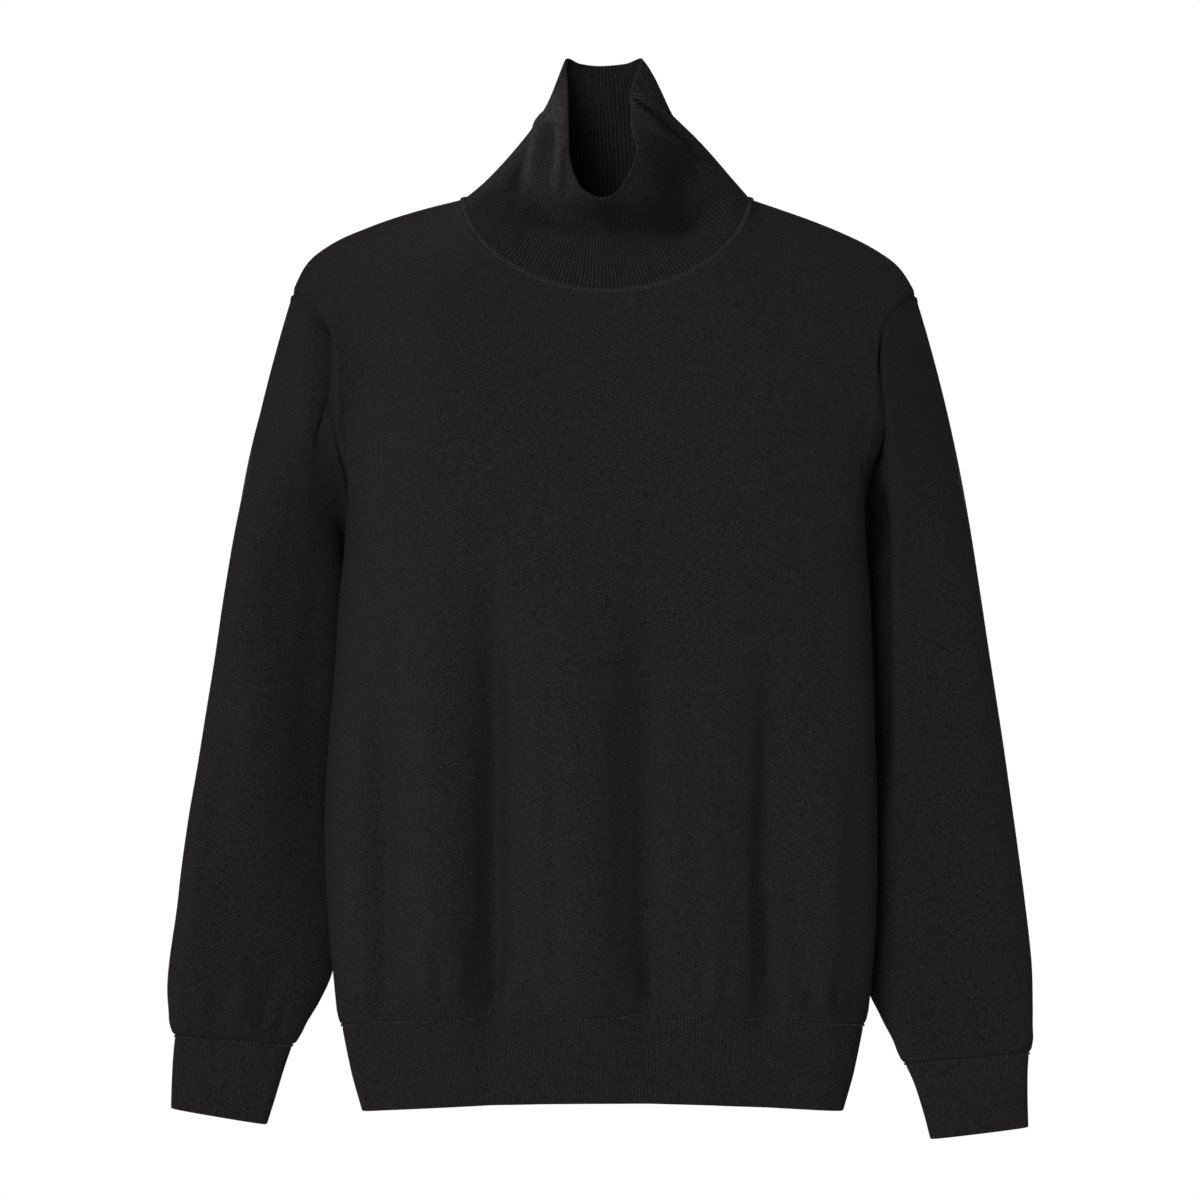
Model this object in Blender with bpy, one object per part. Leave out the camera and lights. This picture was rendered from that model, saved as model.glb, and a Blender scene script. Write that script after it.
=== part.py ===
"""Fine gauge turtleneck sweater, hollow and filled out as it is worn.

The pieces are the ones that are knitted and linked: a front panel, a back panel,
two sleeves, a hem rib in two halves, two cuffs, a funnel collar and the raised
linking band round the neck. Each is a wall of cloth between an outer and an inner
sheet of points. +Z is up, -Y is the front, +X is the wearer's left, and the origin
is the middle of the neck opening, level with the shoulders' neck points.
Every length in this file is in millimetres until wall() makes the mesh in metres.
"""

import bpy
import numpy as np

MM = 0.001

# Cloth
JERSEY_WALL = 2.0
RIB_WALL = 1.8
RIB_RAISE = 0.5
SEAM_GAP = 0.3

# Body and sleeves
ARMPIT_DROP = 240.0
HEM_SEAM_DROP = 618.0
HEM_DROP = 674.0
BODY_ROUNDNESS = 2.12
SLEEVE_ROUNDNESS = 2.15

# The hem hangs lower at its corners: how far, from which drop, and at what half width
HEM_CORNER_DIP = 9.0
HEM_DIP_FROM = 480.0
HEM_DIP_WHOLE = 600.0
HEM_CORNER_X = 190.0

# Neck opening
NECK_CENTRE_X = 2.0
NECK_HALF_WIDTH = 108.5
NECK_SIDE_Y = 2.0
NECK_FRONT_REACH = 80.0
NECK_BACK_REACH = 61.0
NECK_FRONT_DROP = 70.0
NECK_BACK_RISE = 5.0
NECK_FULLNESS = 0.62
NECK_SCOOP = 1.15

# Linking band round the neck
BAND_HALF_WIDTH = 2.2
BAND_THICKNESS = 1.2
BAND_EDGE_THICKNESS = 0.72
BAND_CLEARANCE = 0.35

# A sleeve's head: how it leans out and falls at its crown, how soon that turns to a
# level course toward the armpit, and how much shorter the course starts there
HEAD_LEAN = 0.28
HEAD_FALL = 0.96
HEAD_BEND = 1.3
ARMPIT_SHORTENING = 0.45

# How finely each sheet is divided
SHOULDER_COLUMNS = 6
NECK_COLUMNS = 24
PANEL_COLUMNS = 2 * SHOULDER_COLUMNS + NECK_COLUMNS
YOKE_ROWS = 10
BODY_ROW_DROPS = (240, 295, 350, 410, 470, 530, 575, 604, HEM_SEAM_DROP)
SLEEVE_HEAD_ROWS = 5
COLLAR_ROWS = 7
COLLAR_RIBS = 96
HEM_RIBS_PER_COLUMN = 2
CUFF_RIBS = 40

# Folds set in over the first third of their length and fade out at the side seams
FOLD_ONSET = 3.0
FOLD_SIDE_FADE = 12.0

# How often the yoke's points are evened out, and by how much each time
YOKE_EASING = 14
EASING_SHARE = 0.5

# Steps of the fine curves from which evenly spaced points are read
FINE_STEPS = 400

# The least cosine between a seam's normal and a wall's own, and the angle of a sharp edge
MITRE_LIMIT = 0.55
SHARP_ANGLE = 50.0

KNIT_COLOUR = (0.0168, 0.0146, 0.0150, 1.0)


def table(columns, *rows):
    """Named columns of a short table, one row for each section, fold or point."""
    return dict(zip(columns.split(), np.array(rows, float).T))


# Body sections: how far the body reaches to each side of the origin at each drop
BODY = table(
    "drop right_side left_side front back",
    (200, 191, 199, 117, 112),
    (240, 194, 201, 116, 111),
    (300, 198, 203, 109, 103),
    (375, 203, 206, 99, 93),
    (450, 209, 207, 90, 84),
    (525, 207, 205, 82, 77),
    (570, 203, 201, 77, 72),
    (600, 199, 197, 73, 68),
    (618, 194, 192, 68, 64),
    (640, 190, 188, 65, 61),
    (674, 181, 179, 62, 58),
)

# Shoulder seams, from the sleeve to the neck
RIGHT_SHOULDER = table(
    "x y drop",
    (-235, 6, 68),
    (-229, 6, 55),
    (-220, 7, 42),
    (-204, 8, 31),
    (-174, 8, 18),
    (-140, 6, 7),
    (-106.5, 2, -1),
)
LEFT_SHOULDER = table(
    "x y drop",
    (235, 6, 69),
    (229, 6, 58),
    (219, 7, 46),
    (201, 8, 34),
    (168, 8, 19),
    (138, 6, 8),
    (110.5, 2, -1),
)

# Armholes, from the armpit to the shoulder seam, where they leave the body's side
ARMHOLE_FRONT = table(
    "along out y drop",
    (0.0, 0, -2.5, 240),
    (0.12, 1, -22, 220),
    (0.30, 3, -47, 187),
    (0.50, 4, -61, 148),
    (0.64, 7, -58, 117),
    (0.77, 15, -44, 93),
    (0.89, 30, -20, 77),
    (1.0, 46, 6, 68),
)
ARMHOLE_BACK = table(
    "along out y drop",
    (0.0, 0, -2.5, 240),
    (0.12, 1, 18, 221),
    (0.31, 4, 46, 187),
    (0.50, 8, 62, 148),
    (0.66, 14, 60, 113),
    (0.79, 23, 47, 88),
    (0.90, 34, 28, 74),
    (1.0, 46, 6, 68),
)

# How strongly a panel column climbs from the armpit level and turns over the shoulder,
# how it leans toward the neck there, and how high it would pass over the neck if the
# neck opening didn't cut it
YOKE = table(
    "across climb turn lean over_neck",
    (0.0, 190, 60, 0, 0),
    (0.09, 270, 115, 0.3, 0),
    (0.167, 325, 165, 0.62, 0),
    (0.26, 350, 190, 0.62, 4),
    (0.36, 350, 195, 0.3, 8),
    (0.5, 350, 195, 0, 12),
)

# Long soft folds that fall from the chest to the rib
FRONT_FOLDS = table(
    "x_top x_hem from_drop width rise",
    (-170, -163, 330, 13, -3.5),
    (-112, -117, 250, 25, 4.5),
    (-62, -70, 260, 22, -6.0),
    (-24, -13, 200, 27, 6.0),
    (36, 44, 260, 30, -6.5),
    (92, 98, 300, 22, 5.5),
    (132, 130, 340, 15, -6.0),
    (168, 165, 380, 18, 3.0),
)
BACK_FOLDS = table(
    "x_top x_hem from_drop width rise",
    (-140, -146, 300, 20, -4.0),
    (-98, -104, 250, 24, 5.0),
    (-48, -40, 220, 26, -5.5),
    (8, 14, 190, 30, 5.5),
    (62, 70, 240, 24, -6.0),
    (112, 108, 300, 24, 4.5),
    (150, 154, 340, 16, -4.0),
)
FOLD_GROWTH = table(
    "drop share",
    (180, 0.0),
    (300, 0.25),
    (420, 0.6),
    (540, 1.0),
    (592, 1.05),
    (618, 0.4),
    (640, 0.12),
    (700, 0.0),
)

# Sleeves: the outer and inner edge of each ring, its middle and its depth in Y
RIGHT_SLEEVE = table(
    "outer outer_drop inner inner_drop y depth",
    (-281, 270, -191, 300, 46, 104),
    (-292, 337, -193, 357, 47, 96),
    (-304, 412, -200, 430, 45, 84),
    (-312, 465, -200, 482, 42, 74),
    (-320, 525, -198, 540, 40, 60),
    (-326.5, 565, -204, 578, 37, 49),
    (-329, 592, -213, 600, 34, 41),
    (-327, 614, -225, 620, 31, 34),
    (-323, 628, -234.5, 635, 30, 29),
)
LEFT_SLEEVE = table(
    "outer outer_drop inner inner_drop y depth",
    (280, 270, 196, 300, 46, 104),
    (290, 337, 198, 357, 47, 96),
    (301.5, 412, 200, 430, 45, 84),
    (309, 465, 200, 482, 42, 74),
    (317, 525, 198, 542, 40, 60),
    (322, 570, 197, 586, 37, 49),
    (323, 602, 208, 613, 34, 41),
    (322.5, 626, 218.5, 633, 31, 34),
    (320, 641, 226.5, 649, 30, 29),
)
RIGHT_CUFF = table(
    "outer outer_drop inner inner_drop y depth",
    (-324, 645, -241, 652, 30, 28),
    (-325, 664, -248, 675, 30, 27),
    (-325.5, 682, -254, 694, 30, 26),
)
LEFT_CUFF = table(
    "outer outer_drop inner inner_drop y depth",
    (318.5, 656, 234, 664, 30, 28),
    (318.5, 676, 241, 686, 30, 27),
    (319, 696, 246, 705, 30, 26),
)

# Collar: its free edge, from the wearer's right side through the front and round
COLLAR_RIM = table(
    "turn x y rise",
    (0.0, -27, 0, 64),
    (0.06, -26.5, -15, 45),
    (0.12, -25, -32, 26),
    (0.18, -18, -48, 10),
    (0.25, -1, -57, 0),
    (0.32, 13, -48, 11),
    (0.38, 20, -32, 29),
    (0.44, 21, -15, 48),
    (0.5, 20, 2, 68),
    (0.58, 22, 22, 89),
    (0.64, 28, 35, 107),
    (0.70, 16, 42, 104),
    (0.75, -2, 44, 102.5),
    (0.81, -18, 41, 104),
    (0.87, -28, 33, 107),
    (0.94, -27.5, 17, 86),
)

# How the collar leaves the neck and how it reaches its free edge
COLLAR_FLOW = table(
    "turn start_x start_y start_z end_x end_y end_z",
    (0.0, 62, 0, 80, 78, 2, 44),
    (0.12, 50, 32, 44, 24, 8, 56),
    (0.25, 0, 46, 44, 0, -14, 42),
    (0.38, -50, 32, 44, -24, 8, 56),
    (0.5, -68, 0, 94, -104, 0, 34),
    (0.62, -34, -18, 88, -58, -6, 70),
    (0.75, 0, -14, 78, 0, -16, 56),
    (0.88, 32, -18, 82, 46, -6, 72),
)


def smooth(keys, values, at, period=None):
    """Values read at `at` on a smooth curve through (keys, values)."""
    keys = np.asarray(keys, float)
    values = np.asarray(values, float)
    at = np.asarray(at, float)
    if period:
        keys = np.concatenate([keys[-3:] - period, keys, keys[:3] + period])
        values = np.concatenate([values[-3:], values, values[:3]])
        at = at % period
    slopes = np.gradient(values, keys, axis=0)
    i = np.clip(np.searchsorted(keys, at, side="right") - 1, 0, len(keys) - 2)
    step = keys[i + 1] - keys[i]
    t = np.clip((at - keys[i]) / step, 0.0, 1.0)
    if values.ndim > 1:
        step, t = step[..., None], t[..., None]
    return hermite(values[i], values[i + 1], slopes[i] * step, slopes[i + 1] * step, t)


def hermite(start, end, leaving, arriving, t):
    """Point at t on the cubic from start to end with the two given tangents."""
    return (
        (2 * t**3 - 3 * t**2 + 1) * start
        + (t**3 - 2 * t**2 + t) * leaving
        + (3 * t**2 - 2 * t**3) * end
        + (t**3 - t**2) * arriving
    )


def column(data, name, keys, at, period=None):
    return smooth(data[keys], data[name], at, period)


def xyz(seam):
    return np.stack([seam["x"], seam["y"], -seam["drop"]], axis=-1)


def along(points, shares):
    """Points at the given shares of a polyline's length."""
    lengths = np.linalg.norm(np.diff(points, axis=0), axis=1)
    run = np.concatenate([[0.0], np.cumsum(lengths)])
    run /= run[-1]
    return np.stack([np.interp(shares, run, points[:, k]) for k in range(3)], axis=1)


def smooth_line(points, count):
    """A smooth curve through the points, read at count + 1 even steps."""
    lengths = np.linalg.norm(np.diff(points, axis=0), axis=1)
    run = np.concatenate([[0.0], np.cumsum(lengths)])
    fine = smooth(run, points, np.linspace(0.0, run[-1], FINE_STEPS))
    return along(fine, np.linspace(0.0, 1.0, count + 1))


def half_ring(centre, half_x, half_y, roundness, count):
    """Half a rounded oval, side to side through its front (half_y below zero) or back."""
    angle = np.linspace(0.0, np.pi, FINE_STEPS)
    c, s = np.cos(angle), np.sin(angle)
    x = -np.sign(c) * np.abs(c) ** (2.0 / roundness)
    y = np.abs(s) ** (2.0 / roundness)
    points = centre + np.outer(x, half_x) + np.outer(y, half_y)
    return along(points, np.linspace(0.0, 1.0, count + 1))


def body_ring(drop, facing, count=PANEL_COLUMNS):
    """Half of the body at one drop; facing is -1 for the front and 1 for the back."""
    right, left, front, back = (
        column(BODY, name, "drop", drop) for name in ("right_side", "left_side", "front", "back")
    )
    middle = np.array([(left - right) / 2, (back - front) / 2, -drop])
    across = np.array([(left + right) / 2, 0.0, 0.0])
    forward = np.array([0.0, facing * (front + back) / 2, 0.0])
    ring = half_ring(middle, across, forward, BODY_ROUNDNESS, count)
    near_hem = np.clip((drop - HEM_DIP_FROM) / (HEM_DIP_WHOLE - HEM_DIP_FROM), 0.0, 1.0)
    ring[:, 2] -= HEM_CORNER_DIP * near_hem * (ring[:, 0] / HEM_CORNER_X) ** 2
    return ring


def neckline(facing):
    """The neck seam's front or back half, from the wearer's right to the left."""
    angle = np.linspace(0.0, np.pi, FINE_STEPS)
    reach = NECK_FRONT_REACH if facing < 0 else NECK_BACK_REACH
    fall = NECK_FRONT_DROP if facing < 0 else -NECK_BACK_RISE
    x = NECK_CENTRE_X - NECK_HALF_WIDTH * np.cos(angle)
    y = NECK_SIDE_Y + facing * reach * np.sin(angle) ** NECK_FULLNESS
    z = 1.0 - (fall + 1.0) * np.sin(angle) ** NECK_SCOOP
    line = np.stack([x, y, z], axis=1)
    step = np.linalg.norm(np.diff(line, axis=0), axis=1)
    by_length = np.concatenate([[0.0], np.cumsum(step)])
    by_width = x - x[0]
    share = by_length / by_length[-1] + by_width / by_width[-1]
    even = np.linspace(0.0, share[-1], NECK_COLUMNS + 1)
    return np.stack([np.interp(even, share, line[:, k]) for k in range(3)], axis=1)


def top_edge(facing):
    """A panel's whole top edge: shoulder seam, neckline, shoulder seam."""
    right = smooth_line(xyz(RIGHT_SHOULDER), SHOULDER_COLUMNS)
    left = smooth_line(xyz(LEFT_SHOULDER), SHOULDER_COLUMNS)[::-1]
    return np.concatenate([right, neckline(facing)[1:-1], left])


def armhole(side, facing):
    """Half an armhole, armpit to shoulder; side is -1 on the wearer's right, 1 on the left."""
    rows = ARMHOLE_FRONT if facing < 0 else ARMHOLE_BACK
    ring = body_ring(ARMPIT_DROP, facing)
    armpit = ring[0] if side < 0 else ring[-1]
    tip = top_edge(facing)[0 if side < 0 else -1]
    drops = rows["drop"]
    x = armpit[0] + (tip[0] - armpit[0]) * rows["out"] / rows["out"][-1]
    z = armpit[2] + (tip[2] - armpit[2]) * (drops - drops[0]) / (drops[-1] - drops[0])
    return smooth_line(np.stack([x, rows["y"], z], axis=1), YOKE_ROWS)


def yoke_rows(facing):
    """A panel above the armpits: columns that climb and turn over the shoulder.

    The columns under the neck opening start on the same course and end at the neck.
    """
    foot = body_ring(ARMPIT_DROP, facing)
    top = top_edge(facing)
    across = np.linspace(0.0, 1.0, PANEL_COLUMNS + 1)
    half = np.minimum(across, 1.0 - across)
    climb = column(YOKE, "climb", "across", half)[:, None]
    turn = column(YOKE, "turn", "across", half)
    rising = foot - body_ring(ARMPIT_DROP + 20.0, facing)
    leaving = rising / np.linalg.norm(rising, axis=1, keepdims=True) * climb
    zero = np.zeros_like(turn)
    arriving = np.stack([zero, -facing * turn, zero], axis=1)
    crown = top.copy()
    neck = slice(SHOULDER_COLUMNS, SHOULDER_COLUMNS + NECK_COLUMNS + 1)
    crown[neck, 1] = NECK_SIDE_Y
    crown[neck, 2] = 1.0 + column(YOKE, "over_neck", "across", half)[neck]
    steps = np.linspace(0.0, 1.0, FINE_STEPS + 1)[:, None, None]
    course = hermite(foot, crown, leaving, arriving, steps)
    pace = np.gradient(course, steps[:, 0, 0], axis=0)
    reach = np.full(half.shape, FINE_STEPS)
    off = np.linalg.norm(course[:, neck] - top[neck], axis=2)
    reach[neck] = np.argmin(off, axis=0)
    share = steps[reach, 0]
    arriving = pace[reach, np.arange(len(half))] * share
    lean = column(YOKE, "lean", "across", half) * np.sign(0.5 - across)
    arriving[:, 0] += lean * np.linalg.norm(arriving, axis=1)
    leaving = leaving * share
    pull_right = np.clip(1.0 - 2.0 * across, 0.0, 1.0) ** 2
    pull_left = pull_right[::-1]
    edge_right = armhole(-1, facing)
    edge_left = armhole(1, facing)
    rows = []
    for i, t in enumerate(np.linspace(0.0, 1.0, YOKE_ROWS + 1)):
        row = hermite(foot, top, leaving, arriving, t)
        move_right = edge_right[i] - row[0]
        move_left = edge_left[i] - row[-1]
        rows.append(row + np.outer(pull_right, move_right) + np.outer(pull_left, move_left))
    return rows[::-1]


def fold_rise(points, facing):
    """How far the folds stand out at each point."""
    folds = FRONT_FOLDS if facing < 0 else BACK_FOLDS
    drop = -points[..., 2]
    share = column(FOLD_GROWTH, "share", "drop", drop)
    rise = np.zeros_like(drop)
    for x_top, x_hem, from_drop, width, height in zip(*folds.values()):
        down = np.clip((drop - from_drop) / (HEM_SEAM_DROP - from_drop), 0.0, 1.0)
        middle = x_top + (x_hem - x_top) * down
        shape = np.exp(-(((points[..., 0] - middle) / width) ** 2))
        rise += height * shape * np.minimum(1.0, FOLD_ONSET * down)
    across = np.linspace(0.0, 1.0, points.shape[-2])
    from_seam = np.minimum(across, 1.0 - across)
    return rise * share * np.minimum(1.0, FOLD_SIDE_FADE * from_seam)


def facing_out(points, closed):
    """Unit normals of a sheet of points, turned away from its middle."""
    if closed:
        points = np.concatenate([points, points[:, :1]], axis=1)
    falling = points[1:, 1:] - points[:-1, :-1]
    rising = points[:-1, 1:] - points[1:, :-1]
    facet = np.cross(falling, rising)
    normal = np.zeros_like(points)
    for rows in (slice(None, -1), slice(1, None)):
        for columns in (slice(None, -1), slice(1, None)):
            normal[rows, columns] += facet
    if closed:
        normal[:, 0] += normal[:, -1]
        points, normal = points[:, :-1], normal[:, :-1]
    normal /= np.linalg.norm(normal, axis=2, keepdims=True)
    middle = points.mean(axis=1, keepdims=True)
    if not closed:
        middle[..., 1] = 0.0
    turned = np.sum(normal * (points - middle)) < 0.0
    return -normal if turned else normal


def eased(points, times, upto):
    """The sheet with its points above row upto drawn toward the middle of their neighbours."""
    points = points.copy()
    for _ in range(times):
        beside = points[1:upto, :-2] + points[1:upto, 2:]
        along_column = points[: upto - 1, 1:-1] + points[2 : upto + 1, 1:-1]
        middle = (beside + along_column) / 4.0
        points[1:upto, 1:-1] += EASING_SHARE * (middle - points[1:upto, 1:-1])
    return points


def body_panel(facing):
    rows = yoke_rows(facing)[:-1] + [body_ring(drop, facing) for drop in BODY_ROW_DROPS]
    points = eased(np.stack(rows), YOKE_EASING, YOKE_ROWS + 1)
    normal = facing_out(points, False)
    return points + normal * fold_rise(points, facing)[..., None]


def hem_rows(facing, seam_row):
    """The hem rib's half below a panel's last row."""
    drops = ((HEM_SEAM_DROP + HEM_DROP) / 2, HEM_DROP)
    rows = np.stack([seam_row] + [body_ring(drop, facing) for drop in drops])
    rise = fold_rise(rows, facing)
    rise[0] = 0.0
    return rows + facing_out(rows, False) * rise[..., None]


def oval_rings(sections):
    """Rings across a sleeve or a cuff, each from its inner edge round by the front."""
    half = YOKE_ROWS
    rings = []
    for outer, outer_drop, inner, inner_drop, y, depth in zip(*sections.values()):
        inside = np.array([inner, y, -inner_drop])
        outside = np.array([outer, y, -outer_drop])
        centre, reach = (inside + outside) / 2, (outside - inside) / 2
        to_front = np.array([0.0, -depth / 2, 0.0])
        front = half_ring(centre, reach, to_front, SLEEVE_ROUNDNESS, half)
        back = half_ring(centre, reach, -to_front, SLEEVE_ROUNDNESS, half)
        rings.append(np.concatenate([front, back[-2:0:-1]]))
    return rings


def cuff_rings(sections, sleeve):
    return np.stack([sleeve["points"][-1], *oval_rings(sections)])


def sleeve_rings(sections, armhole_ring):
    """Rings down a sleeve: a head that bends down from the armhole, then ovals."""
    half = YOKE_ROWS
    rings = oval_rings(sections)
    first, second = rings[0], rings[1]
    side = np.sign(first[half, 0])
    height = np.abs(np.linspace(-1.0, 1.0, 2 * half + 1)[:-1])
    lean = HEAD_LEAN + (1.0 - HEAD_LEAN) * height**HEAD_BEND
    fall = HEAD_FALL * (1.0 - height**HEAD_BEND)
    way = np.stack([side * lean, np.zeros_like(lean), -fall], axis=1)
    way /= np.linalg.norm(way, axis=1, keepdims=True)
    span = np.linalg.norm(first - armhole_ring, axis=1)[:, None]
    leaving = way * span * (1.0 - ARMPIT_SHORTENING * height[:, None] ** 4)
    onward = second - first
    arriving = onward / np.linalg.norm(onward, axis=1, keepdims=True) * span
    steps = np.linspace(0.0, 1.0, SLEEVE_HEAD_ROWS + 1)[:-1]
    head = [hermite(armhole_ring, first, leaving, arriving, t) for t in steps]
    return np.stack(head + rings)


def armhole_loop(side):
    """The whole armhole, armpit, front, shoulder and back."""
    front = armhole(side, -1)
    back = armhole(side, 1)
    return np.concatenate([front, back[-2:0:-1]])


def neck_loop():
    """The whole neck seam, right side, front, left side and back."""
    return np.concatenate([neckline(-1), neckline(1)[-2:0:-1]])


def shared_normals(sheets):
    """One normal for every point that two or more sheets share at a seam.

    Where a ring meets both panels, the two panels count as one.
    """
    total, meeting = {}, {}
    for sheet in sheets:
        for key in sheet["keys"]:
            meeting[key] = meeting.get(key, 0) + 1
    for sheet in sheets:
        for key, normal in zip(sheet["keys"], sheet["normal"].reshape(-1, 3)):
            weight = 0.5 if meeting[key] == 3 and not sheet["closed"] else 1.0
            total[key] = total.get(key, 0.0) + weight * normal
    for sheet in sheets:
        own = sheet["normal"].reshape(-1, 3)
        joint = np.array([total[key] for key in sheet["keys"]])
        joint /= np.linalg.norm(joint, axis=1, keepdims=True)
        fit = np.clip(np.sum(own * joint, axis=1), MITRE_LIMIT, 1.0)
        sheet["fit"] = fit.reshape(sheet["points"].shape[:2])
        sheet["into"] = (-joint / fit[:, None]).reshape(sheet["points"].shape)
        sheet["normal"] = joint.reshape(sheet["points"].shape)


def sheet_of(points, closed):
    keys = [tuple(key) for key in np.round(points.reshape(-1, 3), 2) + 0.0]
    return {
        "points": points,
        "closed": closed,
        "normal": facing_out(points, closed),
        "keys": keys,
        "draw": np.zeros_like(points),
    }


def run_of(line, closed=False):
    """The direction in which a line or a loop of points runs at each point."""
    if closed:
        return np.roll(line, -1, axis=0) - np.roll(line, 1, axis=0)
    return np.gradient(line, axis=0)


def draw_back(sheet, edge, span=slice(None), run=None):
    """Pull a seamed stretch of a sheet's edge back by half the gap that the seam keeps."""
    row, beside_row, column_, beside_column = {
        "top": (0, 1, span, span),
        "bottom": (-1, -2, span, span),
        "right": (span, span, 0, 1),
        "left": (span, span, -1, -2),
    }[edge]
    line = sheet["points"][row, column_]
    beside = sheet["points"][beside_row, beside_column]
    if run is None:
        run = run_of(line, sheet["closed"])
    away = np.cross(sheet["normal"][row, column_], run)
    away /= np.linalg.norm(away, axis=1, keepdims=True)
    toward = np.median(np.sign(np.sum(away * (beside - line), axis=1)))
    sheet["draw"][row, column_] += away * toward * SEAM_GAP / 2


def draw_back_panel(panel, facing):
    """Draw a panel back from its shoulder, neck, armhole, side and hem seams."""
    neck_start, neck_end = SHOULDER_COLUMNS, SHOULDER_COLUMNS + NECK_COLUMNS
    around = run_of(neck_loop(), True)
    if facing > 0:
        around = np.concatenate([around[:1], around[:-NECK_COLUMNS - 1:-1]])
    draw_back(panel, "top", slice(0, neck_start + 1))
    draw_back(panel, "top", slice(neck_start, neck_end + 1), around[: NECK_COLUMNS + 1])
    draw_back(panel, "top", slice(neck_end, None))
    draw_back(panel, "bottom")
    for side, edge in ((-1, "right"), (1, "left")):
        around = run_of(armhole_loop(side), True)
        if facing > 0:
            around = np.concatenate([around[:1], around[:-YOKE_ROWS - 1:-1]])
        draw_back(panel, edge, slice(0, YOKE_ROWS + 1), around[: YOKE_ROWS + 1][::-1])
        draw_back(panel, edge, slice(YOKE_ROWS, None))


def outer_and_inner(sheet, thickness):
    outer = sheet["points"] + sheet["draw"]
    return outer, outer + sheet["into"] * thickness


def divided(row, times, closed):
    """A row with each step cut into equal straight parts."""
    ends = np.roll(row, -1, axis=0) if closed else row[1:]
    starts = row if closed else row[:-1]
    shares = np.arange(times) / times
    parts = starts[:, None] + (ends - starts)[:, None] * shares[None, :, None]
    parts = parts.reshape(-1, 3)
    return parts if closed else np.concatenate([parts, row[-1:]])


def ribbed(sheet, times):
    """Outer and inner sheets of a rib band, with times outer points on each of its steps."""
    closed = sheet["closed"]
    base, inner = outer_and_inner(sheet, RIB_WALL)
    outer = np.stack([divided(row, times, closed) for row in base])
    lift = np.stack([divided(row, times, closed) for row in -sheet["into"]])
    crest = np.arange(outer.shape[1]) % 2 == 1
    outer[:, crest] += lift[:, crest] * RIB_RAISE
    return outer, inner


def wall(name, outer, inner, closed):
    """A closed body between an outer sheet and a like or coarser inner sheet."""
    rows, wide = outer.shape[:2]
    narrow = inner.shape[1]
    first_inner = rows * wide
    points = np.concatenate([outer.reshape(-1, 3), inner.reshape(-1, 3)])
    faces = []

    def halves(a, b, c, d):
        if np.linalg.norm(points[a] - points[c]) <= np.linalg.norm(points[b] - points[d]):
            return [(a, b, c), (a, c, d)]
        return [(b, c, d), (b, d, a)]

    def add(found, turned):
        faces.extend([face[::-1] if turned else face for face in found])

    def grid(start, count, turned):
        for r in range(rows - 1):
            for c in range(count if closed else count - 1):
                a = start + r * count + c
                b = start + r * count + (c + 1) % count
                add(halves(a, b, b + count, a + count), turned)

    def edge(row, turned):
        steps = narrow if closed else narrow - 1
        times = wide // narrow if closed else (wide - 1) // (narrow - 1)
        for step in range(steps):
            low = first_inner + row * narrow + step
            high = first_inner + row * narrow + (step + 1) % narrow
            upper = [row * wide + (step * times + k) % wide for k in range(times + 1)]
            if times == 1:
                found = halves(low, upper[0], upper[1], high)
            else:
                to_end = np.linalg.norm(points[low] - points[upper[-1]])
                to_start = np.linalg.norm(points[high] - points[upper[0]])
                middle = times if to_end <= to_start else 0
                found = [(low, upper[k], upper[k + 1]) for k in range(middle)]
                found.append((low, upper[middle], high))
                found += [(high, upper[k], upper[k + 1]) for k in range(middle, times)]
            add(found, turned)

    grid(0, wide, True)
    grid(first_inner, narrow, False)
    edge(0, False)
    edge(rows - 1, True)
    if not closed:
        for r in range(rows - 1):
            for out_column, in_column, turned in ((0, 0, False), (wide - 1, narrow - 1, True)):
                a = r * wide + out_column
                b = first_inner + r * narrow + in_column
                add(halves(a, b, b + narrow, a + wide), turned)
    corners = points[np.array(faces)]
    volume = np.sum(corners[:, 0] * np.cross(corners[:, 1], corners[:, 2]))
    if volume < 0.0:
        faces = [face[::-1] for face in faces]
    mesh = bpy.data.meshes.new(name)
    mesh.from_pydata([tuple(p) for p in points * MM], [], faces)
    mesh.validate()
    mesh.shade_smooth()
    mesh.set_sharp_from_angle(angle=np.radians(SHARP_ANGLE))
    return mesh


def knit(name, colour=KNIT_COLOUR, roughness=0.92):
    material = bpy.data.materials.new(name)
    material.use_nodes = True
    shader = material.node_tree.nodes["Principled BSDF"]
    shader.inputs["Base Color"].default_value = colour
    shader.inputs["Roughness"].default_value = roughness
    shader.inputs["Metallic"].default_value = 0.0
    material.diffuse_color = colour
    return material


def place(collection, name, mesh, material):
    piece = bpy.data.objects.new(name, mesh)
    mesh.materials.append(material)
    collection.objects.link(piece)
    return piece


def collar_rings(base):
    """The collar's rows, from the neck seam to the free edge, on the seam's points."""
    count = len(base)
    turn = np.arange(count) / count
    rim = np.stack(
        [column(COLLAR_RIM, name, "turn", turn, 1.0) for name in ("x", "y", "rise")], axis=1
    )
    leaving = np.stack(
        [column(COLLAR_FLOW, "start_" + k, "turn", turn, 1.0) for k in "xyz"], axis=1
    )
    arriving = np.stack(
        [column(COLLAR_FLOW, "end_" + k, "turn", turn, 1.0) for k in "xyz"], axis=1
    )
    steps = np.linspace(0.0, 1.0, COLLAR_ROWS + 1)
    return np.stack([hermite(base, rim, leaving, arriving, t) for t in steps])


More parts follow.
